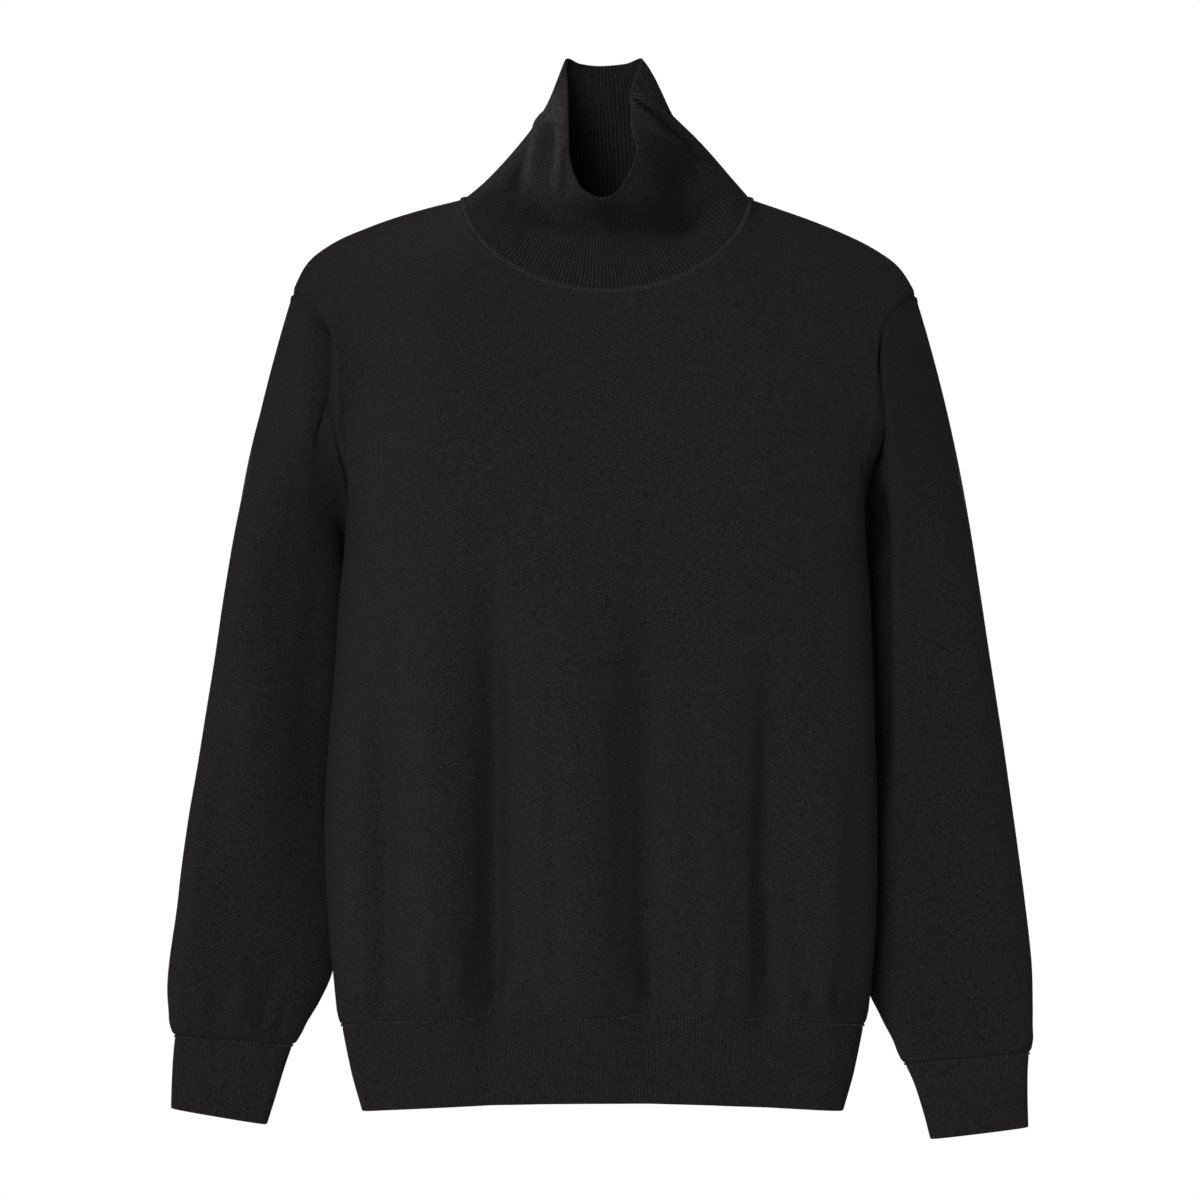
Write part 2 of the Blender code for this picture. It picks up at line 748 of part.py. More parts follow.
def linking_band(front, back, collar):
    """The raised band over the neck seam, part on the body and part on the collar.

    Body and collar meet in a valley, so the band's edges lie higher than its middle.
    """
    beside_neck = slice(SHOULDER_COLUMNS, SHOULDER_COLUMNS + NECK_COLUMNS + 1)
    fits = [panel["fit"][0, beside_neck] for panel in (front, back)]
    body_fit = np.concatenate([fits[0], fits[1][-2:0:-1]])
    seam, out = collar["points"][0], collar["normal"][0]
    away = np.cross(out, run_of(seam, True))
    away /= np.linalg.norm(away, axis=1, keepdims=True)
    away *= np.sign(np.sum(away * (seam - seam.mean(axis=0))))
    under, over = [], []
    collar_fit = collar["fit"][0]
    over_ribs = BAND_CLEARANCE + RIB_RAISE
    for reach, fit, clearance, thickness in (
        (BAND_HALF_WIDTH, body_fit, BAND_CLEARANCE, BAND_EDGE_THICKNESS),
        (0.0, np.minimum(body_fit, collar_fit), over_ribs, BAND_THICKNESS),
        (-BAND_HALF_WIDTH, collar_fit, over_ribs, BAND_EDGE_THICKNESS),
    ):
        rise = abs(reach) * np.tan(np.arccos(fit)) + clearance / fit
        under.append(seam + away * reach + out * rise[:, None])
        over.append(under[-1] + out * thickness)
    return np.stack(over), np.stack(under)


def build():
    for item in list(bpy.data.objects):
        bpy.data.objects.remove(item, do_unlink=True)
    sweater = bpy.data.collections.new("turtleneck_sweater")
    bpy.context.scene.collection.children.link(sweater)

    front = sheet_of(body_panel(-1), False)
    back = sheet_of(body_panel(1), False)
    sleeve_right = sheet_of(sleeve_rings(RIGHT_SLEEVE, armhole_loop(-1)), True)
    sleeve_left = sheet_of(sleeve_rings(LEFT_SLEEVE, armhole_loop(1)), True)
    hem_front = sheet_of(hem_rows(-1, front["points"][-1]), False)
    hem_back = sheet_of(hem_rows(1, back["points"][-1]), False)
    cuff_right = sheet_of(cuff_rings(RIGHT_CUFF, sleeve_right), True)
    cuff_left = sheet_of(cuff_rings(LEFT_CUFF, sleeve_left), True)
    collar = sheet_of(collar_rings(neck_loop()), True)
    plain = {
        "front_panel": front,
        "back_panel": back,
        "sleeve_right": sleeve_right,
        "sleeve_left": sleeve_left,
    }
    ribs = {
        "hem_rib_front": (hem_front, 2 * HEM_RIBS_PER_COLUMN),
        "hem_rib_back": (hem_back, 2 * HEM_RIBS_PER_COLUMN),
        "cuff_right": (cuff_right, 2 * CUFF_RIBS // cuff_right["points"].shape[1]),
        "cuff_left": (cuff_left, 2 * CUFF_RIBS // cuff_left["points"].shape[1]),
        "collar": (collar, 2 * COLLAR_RIBS // collar["points"].shape[1]),
    }
    shared_normals([*plain.values(), *(sheet for sheet, _ in ribs.values())])

    draw_back_panel(front, -1)
    draw_back_panel(back, 1)
    for sleeve in (sleeve_right, sleeve_left):
        draw_back(sleeve, "top")
        draw_back(sleeve, "bottom")
    for band in (hem_front, hem_back, cuff_right, cuff_left, collar):
        draw_back(band, "top")
    for half in (hem_front, hem_back):
        draw_back(half, "right")
        draw_back(half, "left")

    jersey = knit("charcoal jersey knit")
    rib = knit("charcoal rib knit")
    link = knit("charcoal linking")
    for name, sheet in plain.items():
        outer, inner = outer_and_inner(sheet, JERSEY_WALL)
        place(sweater, name, wall(name, outer, inner, sheet["closed"]), jersey)
    for name, (sheet, times) in ribs.items():
        outer, inner = ribbed(sheet, times)
        place(sweater, name, wall(name, outer, inner, sheet["closed"]), rib)
    outer, inner = linking_band(front, back, collar)
    place(sweater, "neck_seam", wall("neck_seam", outer, inner, True), link)


build()
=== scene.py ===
import bmesh
import bpy
import numpy as np
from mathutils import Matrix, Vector


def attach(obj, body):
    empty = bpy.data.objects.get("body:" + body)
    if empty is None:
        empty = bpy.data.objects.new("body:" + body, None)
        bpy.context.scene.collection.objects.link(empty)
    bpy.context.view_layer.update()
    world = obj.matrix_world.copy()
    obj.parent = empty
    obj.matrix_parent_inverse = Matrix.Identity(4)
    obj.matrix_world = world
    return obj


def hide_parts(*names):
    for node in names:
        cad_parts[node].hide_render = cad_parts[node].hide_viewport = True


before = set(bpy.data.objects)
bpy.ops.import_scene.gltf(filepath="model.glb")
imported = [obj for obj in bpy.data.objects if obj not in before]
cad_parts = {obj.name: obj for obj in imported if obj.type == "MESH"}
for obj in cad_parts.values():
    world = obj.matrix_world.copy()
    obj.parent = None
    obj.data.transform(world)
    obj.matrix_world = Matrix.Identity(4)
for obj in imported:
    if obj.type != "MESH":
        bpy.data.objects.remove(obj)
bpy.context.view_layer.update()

# The sweater's sizes, in millimetres as on the knitter's sheet. MM turns them to metres.
# +Z is up, -Y is the front, +X is the wearer's left, and zero is the middle of the neck.
MM = 0.001

# Cloth
JERSEY_WALL = 1.7
RIB_WALL = 1.9
WALE = 1.35
COURSE = 1.05

# Body and sleeves
ARMPIT_DROP = 240.0
HEM_SEAM_DROP = 609.0
HEM_DROP = 674.0
BODY_ROUNDNESS = 2.12
SLEEVE_ROUNDNESS = 2.45

# The hem hangs lower at its corners: how far, from which drop, and at what half width
HEM_CORNER_DIP = 9.0
HEM_DIP_FROM = 480.0
HEM_DIP_WHOLE = 600.0
HEM_CORNER_X = 190.0

# Neck opening
NECK_CENTRE_X = 2.0
NECK_HALF_WIDTH = 108.5
NECK_SIDE_Y = 2.0
NECK_SIDE_RISE = 1.0
NECK_FRONT_REACH = 80.0
NECK_BACK_REACH = 61.0
NECK_FRONT_DROP = 70.0
NECK_BACK_RISE = 5.0
NECK_FULLNESS = 0.62
NECK_SCOOP = 1.15

# A sleeve's head: how it leans out and falls at its crown, how soon that turns to a
# level course toward the armpit, how much shorter the course starts there and how near
# the armpit that begins, and how far along the first two rings it aims
HEAD_LEAN = 0.28
HEAD_FALL = 0.96
HEAD_BEND = 1.3
ARMPIT_SHORTENING = 0.85
ARMPIT_ONSET = 4
HEAD_AIM = 0.25

# The pattern's coarse net, on which the body's form is drawn. The yoke's columns leave the
# armpit level in the direction that they have over the stretch CLIMB_READ_OVER below it
SHOULDER_COLUMNS = 6
NECK_COLUMNS = 24
PANEL_COLUMNS = 2 * SHOULDER_COLUMNS + NECK_COLUMNS
YOKE_ROWS = 10
BODY_ROW_DROPS = (240, 295, 350, 410, 470, 530, 573, 596, HEM_SEAM_DROP)
CLIMB_READ_OVER = 20.0
YOKE_EASING = 14
EASING_SHARE = 0.5
FINE_STEPS = 400

# The fine net of the finished cloth, with places and rows closer together at the seams;
# places are rounded to so many decimals, and a HAIR is a length too short to matter
PANEL_FINE = 5
PANEL_FINE_ROWS = 225
SLEEVE_HALF_COLUMNS = 58
SLEEVE_HEAD_ROWS = 46
SLEEVE_BODY_ROWS = 150
NEAR_SEAM = (0.05, 0.1, 0.16, 0.26)
ROWS_AT_SEAM = (0.8, 1.6, 2.6)
HEAD_ROWS_AT_SEAM = (0.008, 0.016, 0.026, 0.04)
PLACE_DECIMALS = 6
HAIR = 1e-6
COLLAR_RIBS = 192
COLLAR_ROWS = 54
HEM_RIBS = 172
HEM_ROWS = 18
CUFF_RIBS = 80
CUFF_ROWS = 18
RIB_COLUMNS = 4

# Relief of the finished cloth: the ribs, the seams and the puff above the hem and cuffs
RIB_PROFILE = (0.0, 0.72, 1.0, 0.72)
RIB_STITCH = 2.6
RIB_ONSET = 3.0
COLLAR_RIB_RISE = 1.1
HEM_RIB_RISE = 0.6
CUFF_RIB_RISE = 0.5
SEAM_SINK = 2.0
SEAM_SINK_WIDTH = 1.7
SEAM_RIDGE = 0.9
SEAM_RIDGE_AT = 4.0
SEAM_RIDGE_WIDTH = 2.4
HEM_SINK_SHARE = 0.45
HEM_PUFF, HEM_PUFF_AT, HEM_PUFF_WIDTH = 0.7, 9.0, 7.0
CUFF_PUFF, CUFF_PUFF_AT, CUFF_PUFF_WIDTH = 1.2, 9.0, 8.0
CREASE_FROM_SEAM = 5.0
RIM_ROUND = 0.25

# Linking course over the neck seam; it lies toward these rows of the panels and the collar
NECK_REACH_ROW = 3
COLLAR_REACH_ROW = 2
LINK_HALF_WIDTH = 2.8
LINK_RISE = 1.7
LINK_LIFT = 0.2
LINK_DEPTH = 0.8
LINK_ROWS = 9
LINK_LOOP_COLUMNS = 4
LINK_SLANT = 0.6
LINK_LOOP_RELIEF = 0.22

# Stitches over the hem and cuff seams. A stitch's points and faces are put in one order
# by how much x, y and z weigh, so that it is made alike each time
STITCH_SIZE = (2.5, 1.25, 1.1)
STITCH_SIDES = 8
STITCH_RINGS = 5
STITCH_ORDER = (1.0, 100.0, 10000.0)
STITCH_PITCH = 2.7
STITCH_LIFT = 0.9
STITCH_SLANT = 0.9
STITCH_UNEVENNESS = 0.22
HEM_STITCH_SEED = 5
CUFF_STITCH_SEED = 11

# Yarn and surface
CHARCOAL = (0.0193, 0.0169, 0.0178)
# painted shade: the sleeves' jersey is made darker than the body's, as if shadowed beside it
SLEEVE_PAINTED_SHADE = 0.86
RIB_TONE = 0.92
COLLAR_TONE = 0.92
LINKING_TONE = 1.2
STITCH_TONE = 2.8
HEM_GROOVE_SHADE = 0.42
COLLAR_GROOVE_SHADE = 0.85
GROOVE_FROM = 0.2
MELANGE = 0.85
MELANGE_ENDS = (0.4, 0.62)
CLOUD_SHARE = 0.06
NAP_SHARE = 0.8
HOLLOW_SHADE = 0.5
JERSEY_RELIEF = 0.35
RIB_RELIEF = 0.3
STITCH_CLIMB = 1.6
LEG_FULLNESS = 0.6
ROUGHNESS = 0.93
SPECULAR = 0.1
SHEEN = 0.03
SHEEN_ROUGHNESS = 0.45
SHEEN_TINT = (0.5, 0.47, 0.47)

# How large the yarn's flecks, its clouding and its nap are, and in how much detail
MELANGE_GRAIN = (0.6, 1.0)
CLOUD_GRAIN = (4.0, 2.0)
NAP_GRAIN = (0.7, 4.0)

# Floor, light and camera, in metres
FLOOR_LEVEL = -0.95
FLOOR_RADIUS = 2.2
FLOOR_SIDES = 96
FLOOR_COLOUR = (0.9, 0.9, 0.9)
FLOOR_ROUGHNESS = 0.9
FILL_LIGHT = 0.26
# Each far lamp: where its light comes from, its strength and its softness in degrees
FAR_LAMPS = {
    "key_light": ((-0.34, -0.93, 0.12), 2.8, 30.0),
    "side_light": ((0.72, -0.69, 0.05), 0.6, 60.0),
    "back_light": ((0.0, 1.0, 0.12), 1.8, 24.0),
}
COLLAR_LAMP_AT = (-1.2, -0.42, 0.1)
COLLAR_LAMP_AIM = (-0.046, -0.02, 0.056)
COLLAR_LAMP_WATTS = 140.0
COLLAR_LAMP_SPREAD = 6.6
COLLAR_LAMP_SIZE = 0.08
CAMERA_X = -0.003
CAMERA_Z = -0.3
CAMERA_DISTANCE = 8.0
CAMERA_REACH = 50.0
CAMERA_SENSOR = 36.0
VIEW_WIDTH = 0.9


def table(columns, *rows):
    """Named columns of a short table, one row for each section, fold or point."""
    return dict(zip(columns.split(), np.array(rows, float).T))


# Body sections: how far the body reaches to each side of the origin at each drop
BODY = table(
    "drop right_side left_side front back",
    (200, 191, 196, 117, 112),
    (240, 194, 197, 116, 111),
    (300, 198, 199, 109, 103),
    (375, 203, 202, 99, 93),
    (450, 209, 204, 90, 84),
    (525, 207, 204, 82, 77),
    (570, 203, 201, 77, 72),
    (600, 199, 197, 73, 68),
    (618, 194, 192, 68, 64),
    (640, 190, 188, 65, 61),
    (674, 181, 179, 62, 58),
)

# Shoulder seams, from the sleeve to the neck
RIGHT_SHOULDER = table(
    "x y drop",
    (-235, 6, 68),
    (-229, 6, 55),
    (-220, 7, 42),
    (-204, 8, 31),
    (-174, 8, 18),
    (-140, 6, 7),
    (-106.5, 2, -1),
)
LEFT_SHOULDER = table(
    "x y drop",
    (235, 6, 69),
    (229, 6, 58),
    (219, 7, 46),
    (201, 8, 34),
    (168, 8, 19),
    (138, 6, 8),
    (110.5, 2, -1),
)

# Armholes, from the armpit to the shoulder seam, where they leave the body's side
ARMHOLE_FRONT = table(
    "out y drop",
    (0, -2.5, 240),
    (1, -22, 220),
    (3, -47, 187),
    (4, -61, 148),
    (7, -58, 117),
    (15, -44, 93),
    (30, -20, 77),
    (46, 6, 68),
)
ARMHOLE_BACK = table(
    "out y drop",
    (0, -2.5, 240),
    (1, 18, 221),
    (4, 46, 187),
    (8, 62, 148),
    (14, 60, 113),
    (23, 47, 88),
    (34, 28, 74),
    (46, 6, 68),
)

# How strongly a panel column climbs from the armpit level and turns over the shoulder,
# how it leans toward the neck there, and how high it would pass over the neck if the
# neck opening didn't cut it
YOKE = table(
    "across climb turn lean over_neck",
    (0, 190, 60, 0, 0),
    (0.09, 270, 115, 0.3, 0),
    (0.167, 325, 165, 0.62, 0),
    (0.26, 350, 190, 0.62, 4),
    (0.36, 350, 195, 0.3, 8),
    (0.5, 350, 195, 0, 12),
)

# Long soft folds that fall from the chest to the rib
FRONT_FOLDS = table(
    "x_top x_hem from_drop width rise",
    (-168, -165, 330, 10, -3),
    (-128, -122, 230, 22, 5),
    (-86, -83, 230, 12, -8.5),
    (-24, -12, 170, 31, 8),
    (26, 33, 220, 14, -6.5),
    (84, 90, 250, 28, 4),
    (124, 122, 300, 11, -4.5),
    (168, 165, 380, 14, 3),
)
BACK_FOLDS = table(
    "x_top x_hem from_drop width rise",
    (-140, -146, 300, 16, -4),
    (-98, -104, 250, 19.2, 5),
    (-48, -40, 220, 20.8, -5.5),
    (8, 14, 190, 24, 5.5),
    (62, 70, 240, 19.2, -6),
    (112, 108, 300, 19.2, 4.5),
    (150, 154, 340, 12.8, -4),
)
FOLD_GROWTH = table(
    "drop share",
    (180, 0.1),
    (300, 1.25),
    (420, 2.4),
    (540, 2.6),
    (583, 2.5),
    (609, 1.4),
    (634, 0.7),
    (700, 0.1),
)
FOLD_ONSET = 3.0
FOLD_SIDE_FADE = 12.0

# Sleeves: the outer and inner edge of each ring, its middle and its depth in Y
RIGHT_SLEEVE = table(
    "outer outer_drop inner inner_drop y depth",
    (-281, 270, -191, 300, 46, 104),
    (-292, 337, -193, 357, 47, 96),
    (-304, 412, -200, 430, 45, 84),
    (-312, 465, -200, 482, 42, 74),
    (-320, 525, -198, 540, 40, 60),
    (-326.5, 565, -204, 578, 37, 49),
    (-329, 592, -213, 600, 34, 41),
    (-327, 614, -225, 620, 31, 34),
    (-323, 628, -234.5, 635, 30, 29),
)
LEFT_SLEEVE = table(
    "outer outer_drop inner inner_drop y depth",
    (280, 270, 196, 300, 46, 104),
    (290, 337, 198, 357, 47, 96),
    (301.5, 412, 200, 430, 45, 84),
    (309, 465, 200, 482, 42, 74),
    (317, 525, 198, 542, 40, 60),
    (322, 570, 197, 586, 37, 49),
    (323, 602, 208, 613, 34, 41),
    (322.5, 626, 218.5, 633, 31, 34),
    (320, 641, 226.5, 649, 30, 29),
)
RIGHT_CUFF = table(
    "outer outer_drop inner inner_drop y depth",
    (-324, 645, -241, 652, 30, 28),
    (-325, 664, -248, 675, 30, 27),
    (-325.5, 682, -254, 694, 30, 26),
)
LEFT_CUFF = table(
    "outer outer_drop inner inner_drop y depth",
    (318.5, 656, 234, 664, 30, 28),
    (318.5, 676, 241, 686, 30, 27),
    (319, 696, 246, 705, 30, 26),
)

# Collar: its free edge, from the wearer's right side through the front and round
COLLAR_RIM = table(
    "turn x y rise",
    (0, -27, 0, 64),
    (0.06, -26.5, -15, 45),
    (0.12, -25, -32, 26),
    (0.18, -18, -48, 10),
    (0.25, -1, -57, 0),
    (0.32, 13, -48, 11),
    (0.38, 20, -32, 29),
    (0.44, 21, -15, 48),
    (0.5, 20, 2, 68),
    (0.58, 22, 22, 89),
    (0.64, 28, 35, 107),
    (0.70, 16, 42, 104),
    (0.75, -2, 44, 102.5),
    (0.81, -18, 41, 104),
    (0.87, -28, 33, 107),
    (0.94, -27.5, 17, 86),
)

# How the collar leaves the neck and how it reaches its free edge
COLLAR_FLOW = table(
    "turn start_x start_y start_z end_x end_y end_z",
    (0, 82, 0, 57, 84, 2, 41),
    (0.12, 50, 32, 44, 24, 8, 56),
    (0.25, 0, 46, 44, 0, -14, 42),
    (0.38, -50, 32, 44, -24, 8, 56),
    (0.5, -77, 0, 87, -116, 0, 23),
    (0.62, -16, -18, 101, -67, -6, 61),
    (0.75, 0, -14, 78, 0, -16, 56),
    (0.88, 35, -18, 81, 34, -6, 73),
)

# Creases, each a soft trough or ridge that runs from one point to another as seen from
# the front (facing -1) or the back (facing 1), with its width and how far it rises
BODY_CREASES = table(
    "facing x0 drop0 x1 drop1 width rise",
    # narrow folds that run down into the hem rib
    (-1, -92, 420, -90, 640, 6, -4),
    (-1, -112, 430, -110, 640, 7, 2.4),
    (-1, -52, 300, -42, 640, 7, 3),
    (-1, 12, 330, 12, 600, 8, -3.6),
    (-1, 76, 360, 82, 620, 6, 3.6),
    (-1, 112, 440, 114, 640, 6, -2.4),
    (-1, 150, 380, 152, 630, 8, 3.3),
    (1, -80, 360, -76, 620, 9, -3.6),
    (1, -30, 320, -26, 620, 9, 2.6),
    (1, 30, 360, 36, 630, 9, -3.6),
    (1, 90, 380, 92, 620, 9, 2.4),
    # gathers above the hem rib
    (-1, -119, 566, -120, 603, 4.2, -3.6),
    (-1, -128, 551, -130, 603, 4.2, 2.7),
    (-1, -84, 581, -85, 607, 3.4, -3.2),
    (-1, -74, 566, -74, 606, 4.2, 3.2),
    (-1, -98, 536, -99, 605, 5.1, -4.9),
    (-1, -104, 551, -106, 605, 4.2, 3.6),
    (-1, -45, 587, -44, 607, 3.4, -2.2),
    (-1, 8, 581, 9, 607, 3.4, -2.2),
    (-1, 22, 573, 23, 607, 4.2, 2.7),
    (-1, 34, 561, 35, 605, 3.4, -3.6),
    (-1, 48, 579, 49, 607, 3.4, 2.2),
    (-1, 72, 576, 72, 605, 3.4, -2.7),
    (-1, 80, 551, 81, 605, 4.2, 2.7),
    (-1, 124, 511, 127, 605, 5.1, -4.9),
    (-1, 136, 551, 137, 605, 4.2, 3.2),
    (-1, 152, 581, 153, 607, 3.4, -2.2),
    (-1, 162, 576, 163, 607, 3.4, 2.2),
    (-1, 172, 583, 173, 605, 3.4, -2.2),
    (1, -132, 571, -133, 605, 4.2, -3.2),
    (1, -108, 551, -109, 605, 4.2, 3.2),
    (1, -72, 563, -70, 605, 4.2, -4.1),
    (1, -52, 581, -52, 607, 3.4, 2.7),
    (1, -20, 575, -19, 607, 3.4, -2.7),
    (1, 24, 556, 26, 605, 5.1, -3.6),
    (1, 44, 579, 44, 607, 3.4, 2.2),
    (1, 82, 551, 84, 605, 4.2, -4.1),
    (1, 98, 576, 98, 607, 3.4, 2.2),
    (1, 134, 566, 135, 605, 4.2, -3.2),
    # drag from the armholes and the shoulders
    (-1, -196, 196, -150, 160, 16, -1.6),
    (-1, -196, 226, -128, 262, 18, 1.4),
    (-1, 200, 196, 158, 150, 16, -1.6),
    (-1, 200, 230, 138, 268, 20, 1.4),
    (-1, -150, 60, -96, 96, 20, -1),
    (-1, 150, 62, 100, 98, 20, -1),
    (-1, -60, 175, -20, 215, 26, 1.2),
    (-1, 40, 180, 90, 230, 28, -1.2),
    (1, -190, 190, -140, 150, 18, -2),
    (1, 196, 190, 142, 146, 18, -2),
    (1, -180, 236, -100, 280, 22, 1.8),
    (1, 186, 236, 108, 284, 22, 1.8),
    (1, -70, 60, 62, 62, 18, -1.4),
    (1, -60, 96, 58, 104, 22, 1.2),
)
RIGHT_SLEEVE_CREASES = table(
    "facing x0 drop0 x1 drop1 width rise",
    (-1, -272, 300, -300, 520, 15, -5.9),
    (-1, -252, 330, -262, 560, 20, 4.2),
    (-1, -210, 10, -212, 210, 9, -18),
    (-1, -208, 190, -214, 420, 12, -3),
    (-1, -236, 160, -248, 300, 16, 2.2),
    (-1, -226, 300, -214, 470, 13, -3.4),
    (-1, -256, 110, -312, 610, 24, 6),
    (-1, -228, 130, -222, 590, 22, -4),
    (-1, -300, 420, -312, 590, 10, 2.8),
    (-1, -240, 560, -262, 624, 10, -2.8),
    (-1, -268, 575, -278, 626, 7, 2.5),
    (-1, -250, 590, -262, 628, 5, -2.5),
    (-1, -286, 585, -292, 626, 6, -2),
    (-1, -300, 590, -304, 622, 6, 1.7),
    (-1, -258, 606, -266, 630, 4, 2),
    (-1, -234, 596, -248, 632, 4, -2.5),
    (1, -246, 190, -262, 330, 18, -3),
    (1, -270, 320, -292, 500, 16, 4.2),
    (1, -232, 360, -236, 540, 15, -4.8),
    (1, -262, 520, -284, 620, 10, -3.4),
    (1, -290, 560, -302, 624, 7, 2.5),
    (1, -244, 590, -262, 630, 5, 2.2),
)
LEFT_SLEEVE_CREASES = table(
    "facing x0 drop0 x1 drop1 width rise",
    (-1, 203, 20, 200, 330, 5.5, -20),
    (-1, 206, 200, 206, 480, 9, -9),
    (-1, 244, 170, 256, 320, 18, 2.2),
    (-1, 268, 260, 288, 460, 22, 2.7),
    (-1, 232, 330, 236, 520, 14, -3),
    (-1, 256, 430, 268, 600, 14, -2.4),
    (-1, 290, 470, 302, 630, 12, 2.7),
    (-1, 240, 570, 258, 638, 8, -2.4),
    (-1, 268, 600, 278, 640, 6, 2.4),
    (-1, 282, 606, 288, 640, 5, -2.1),
    (-1, 300, 600, 304, 636, 6, 1.8),
    (-1, 252, 612, 262, 644, 4, 1.8),
    (1, 250, 190, 264, 330, 18, -3),
    (1, 270, 330, 288, 500, 16, 3.9),
    (1, 232, 380, 238, 560, 15, -4.5),
    (1, 258, 530, 280, 630, 10, -3.3),
    (1, 292, 570, 300, 636, 7, 2.4),
)
COLLAR_CREASES = table(
    "facing x0 drop0 x1 drop1 width rise",
    # the flap beside the opening and the fold line that ends it
    (-1, -45, -78, -57, 0, 6, 6.5),
    (-1, -55, -70, -66, 4, 8, -4.5),
    (-1, -36, -70, -43, 0, 5, -3),
    (-1, -31, -46, -34, 6, 3, 1.8),
    # the lip below the opening and the hollow under it
    (-1, -70, 8, 66, 26, 9, -12),
    (-1, -40, -4, 34, 0, 8, 3.4),
    # the crease from the free edge to the side
    (-1, 12, -88, 76, -32, 2.6, -9),
    (-1, 6, -82, 70, -25, 4.6, 4.5),
    (-1, 36, -40, 44, 8, 12, 2.2),
    (-1, 24, -58, 30, 20, 11, 7),
    (-1, 60, -40, 62, 40, 18, -17),
    (-1, 88, -12, 96, 10, 9, 2.4),
    (1, -40, -60, -30, -8, 12, -2),
    (1, 34, -66, 26, -10, 12, -2),
    (1, 0, -84, 4, -20, 14, 1.6),
)
CREASE_TAPER = 0.28
CREASE_SIDE_BLEND = 2.0

# How deep the cloth sinks in along each armhole, where the sleeve falls beside the body
ARMHOLE_HOLLOW = table(
    "drop depth",
    (60, 0),
    (88, 2),
    (118, 4),
    (150, 4.5),
    (195, 4),
    (225, 3),
    (260, 2),
    (300, 0),
)
HOLLOW_WIDTH = 10.0
HOLLOW_BEHIND = 0.6

# Painted light and shade on the collar's rib, along lines like those of the creases: where the
# tone is above zero the rib is painted paler, as if lit, and below zero it gets painted shade
COLLAR_PAINTED_LIGHT = table(
    "facing x0 drop0 x1 drop1 width tone",
    (-1, -33, -92, -50, 6, 9, 1.1),
    (-1, 40, -90, 70, 34, 24, -0.46),
    (-1, -40, 14, 96, 16, 13, -0.38),
    (-1, -104, -16, -46, 32, 19, -0.24),
)


def unit(vectors):
    return vectors / np.linalg.norm(vectors, axis=-1, keepdims=True)


def soft_step(share):
    """Goes from 0 to 1 as the share does, without a corner at either end."""
    share = np.clip(share, 0.0, 1.0)
    return 3 * share**2 - 2 * share**3


def swell(distance, rise, width, at=0.0):
    """Soft ridge along a line on the cloth, or a trough where the rise is below zero."""
    return rise * np.exp(-(((distance - at) / width) ** 2))


def raised(points, normal, rise):
    return points + normal * rise[..., None]


def hermite(start, end, leaving, arriving, t):
    """Point at t on the cubic from start to end with the two given tangents."""
    return (
        (2 * t**3 - 3 * t**2 + 1) * start
        + (t**3 - 2 * t**2 + t) * leaving
        + (3 * t**2 - 2 * t**3) * end
        + (t**3 - t**2) * arriving
    )


def smooth(keys, values, at, period=None):
    """Values read at `at` on a smooth curve through (keys, values)."""
    if period:
        keys = np.concatenate([keys[-3:] - period, keys, keys[:3] + period])
        values = np.concatenate([values[-3:], values, values[:3]])
        at = at % period
    slopes = np.gradient(values, keys, axis=0)
    i = np.clip(np.searchsorted(keys, at, side="right") - 1, 0, len(keys) - 2)
    step = keys[i + 1] - keys[i]
    t = np.clip((at - keys[i]) / step, 0.0, 1.0)
    if values.ndim > 1:
        wide = (-1,) + (1,) * (values.ndim - 1)
        step, t = step.reshape(wide), t.reshape(wide)
    return hermite(values[i], values[i + 1], slopes[i] * step, slopes[i + 1] * step, t)


def smooth_between(keys, values, at, breaks):
    """smooth(), but free to turn a corner at each of the breaks."""
    ends = [0, *breaks, len(keys) - 1]
    result = np.empty((len(at),) + values.shape[1:])
    for first, last in zip(ends[:-1], ends[1:]):
        inside = (at >= keys[first]) & (at <= keys[last])
        span = slice(first, last + 1)
        result[inside] = smooth(keys[span], values[span], at[inside])
    return result


def column(data, name, keys, at, period=None):
    return smooth(data[keys], data[name], at, period)


def xyz(seam):
    return np.stack([seam["x"], seam["y"], -seam["drop"]], axis=-1)


def lengths_along(points):
    """Running length of a polyline."""
    steps = np.linalg.norm(np.diff(points, axis=0), axis=-1)
    return np.concatenate([[0.0], np.cumsum(steps)])


def read_along(at, run, points):
    """Points of a polyline where its running measure reaches the given values."""
    return np.stack([np.interp(at, run, points[:, k]) for k in range(3)], axis=1)


def even_shares(count):
    return np.linspace(0.0, 1.0, count + 1)


def closed_up(ring):
    """A ring of points with its first one repeated at the end."""
    return np.concatenate([ring, ring[:1]])


def along(points, shares):
    """Points at the given shares of a polyline's length."""
    run = lengths_along(points)
    return read_along(shares, run / run[-1], points)


def smooth_line(points, count):
    """A smooth curve through the points, read at count + 1 even steps."""
    run = lengths_along(points)
    fine = smooth(run, points, np.linspace(0.0, run[-1], FINE_STEPS))
    return along(fine, even_shares(count))


def across_lengths(points):
    """Running length along every row of a sheet."""
    steps = np.linalg.norm(np.diff(points, axis=1), axis=2)
    return np.concatenate([np.zeros((len(points), 1)), np.cumsum(steps, axis=1)], axis=1)


def down_lengths(points):
    """Running length down every column of a sheet."""
    return across_lengths(points.transpose(1, 0, 2)).T


def loop_lengths(points):
    """Running length round every row of a closed sheet, with the closing step."""
    return across_lengths(np.concatenate([points, points[:, :1]], axis=1))


# Form of the body: rings below the armpits, and columns over the shoulders above them


def half_ring(centre, half_x, half_y, roundness, count):
    """Half a rounded oval, side to side through its front (half_y below zero) or back."""
    angle = np.linspace(0.0, np.pi, FINE_STEPS)
    c, s = np.cos(angle), np.sin(angle)
    x = -np.sign(c) * np.abs(c) ** (2.0 / roundness)
    y = np.abs(s) ** (2.0 / roundness)
    points = centre + np.outer(x, half_x) + np.outer(y, half_y)
    return along(points, even_shares(count))


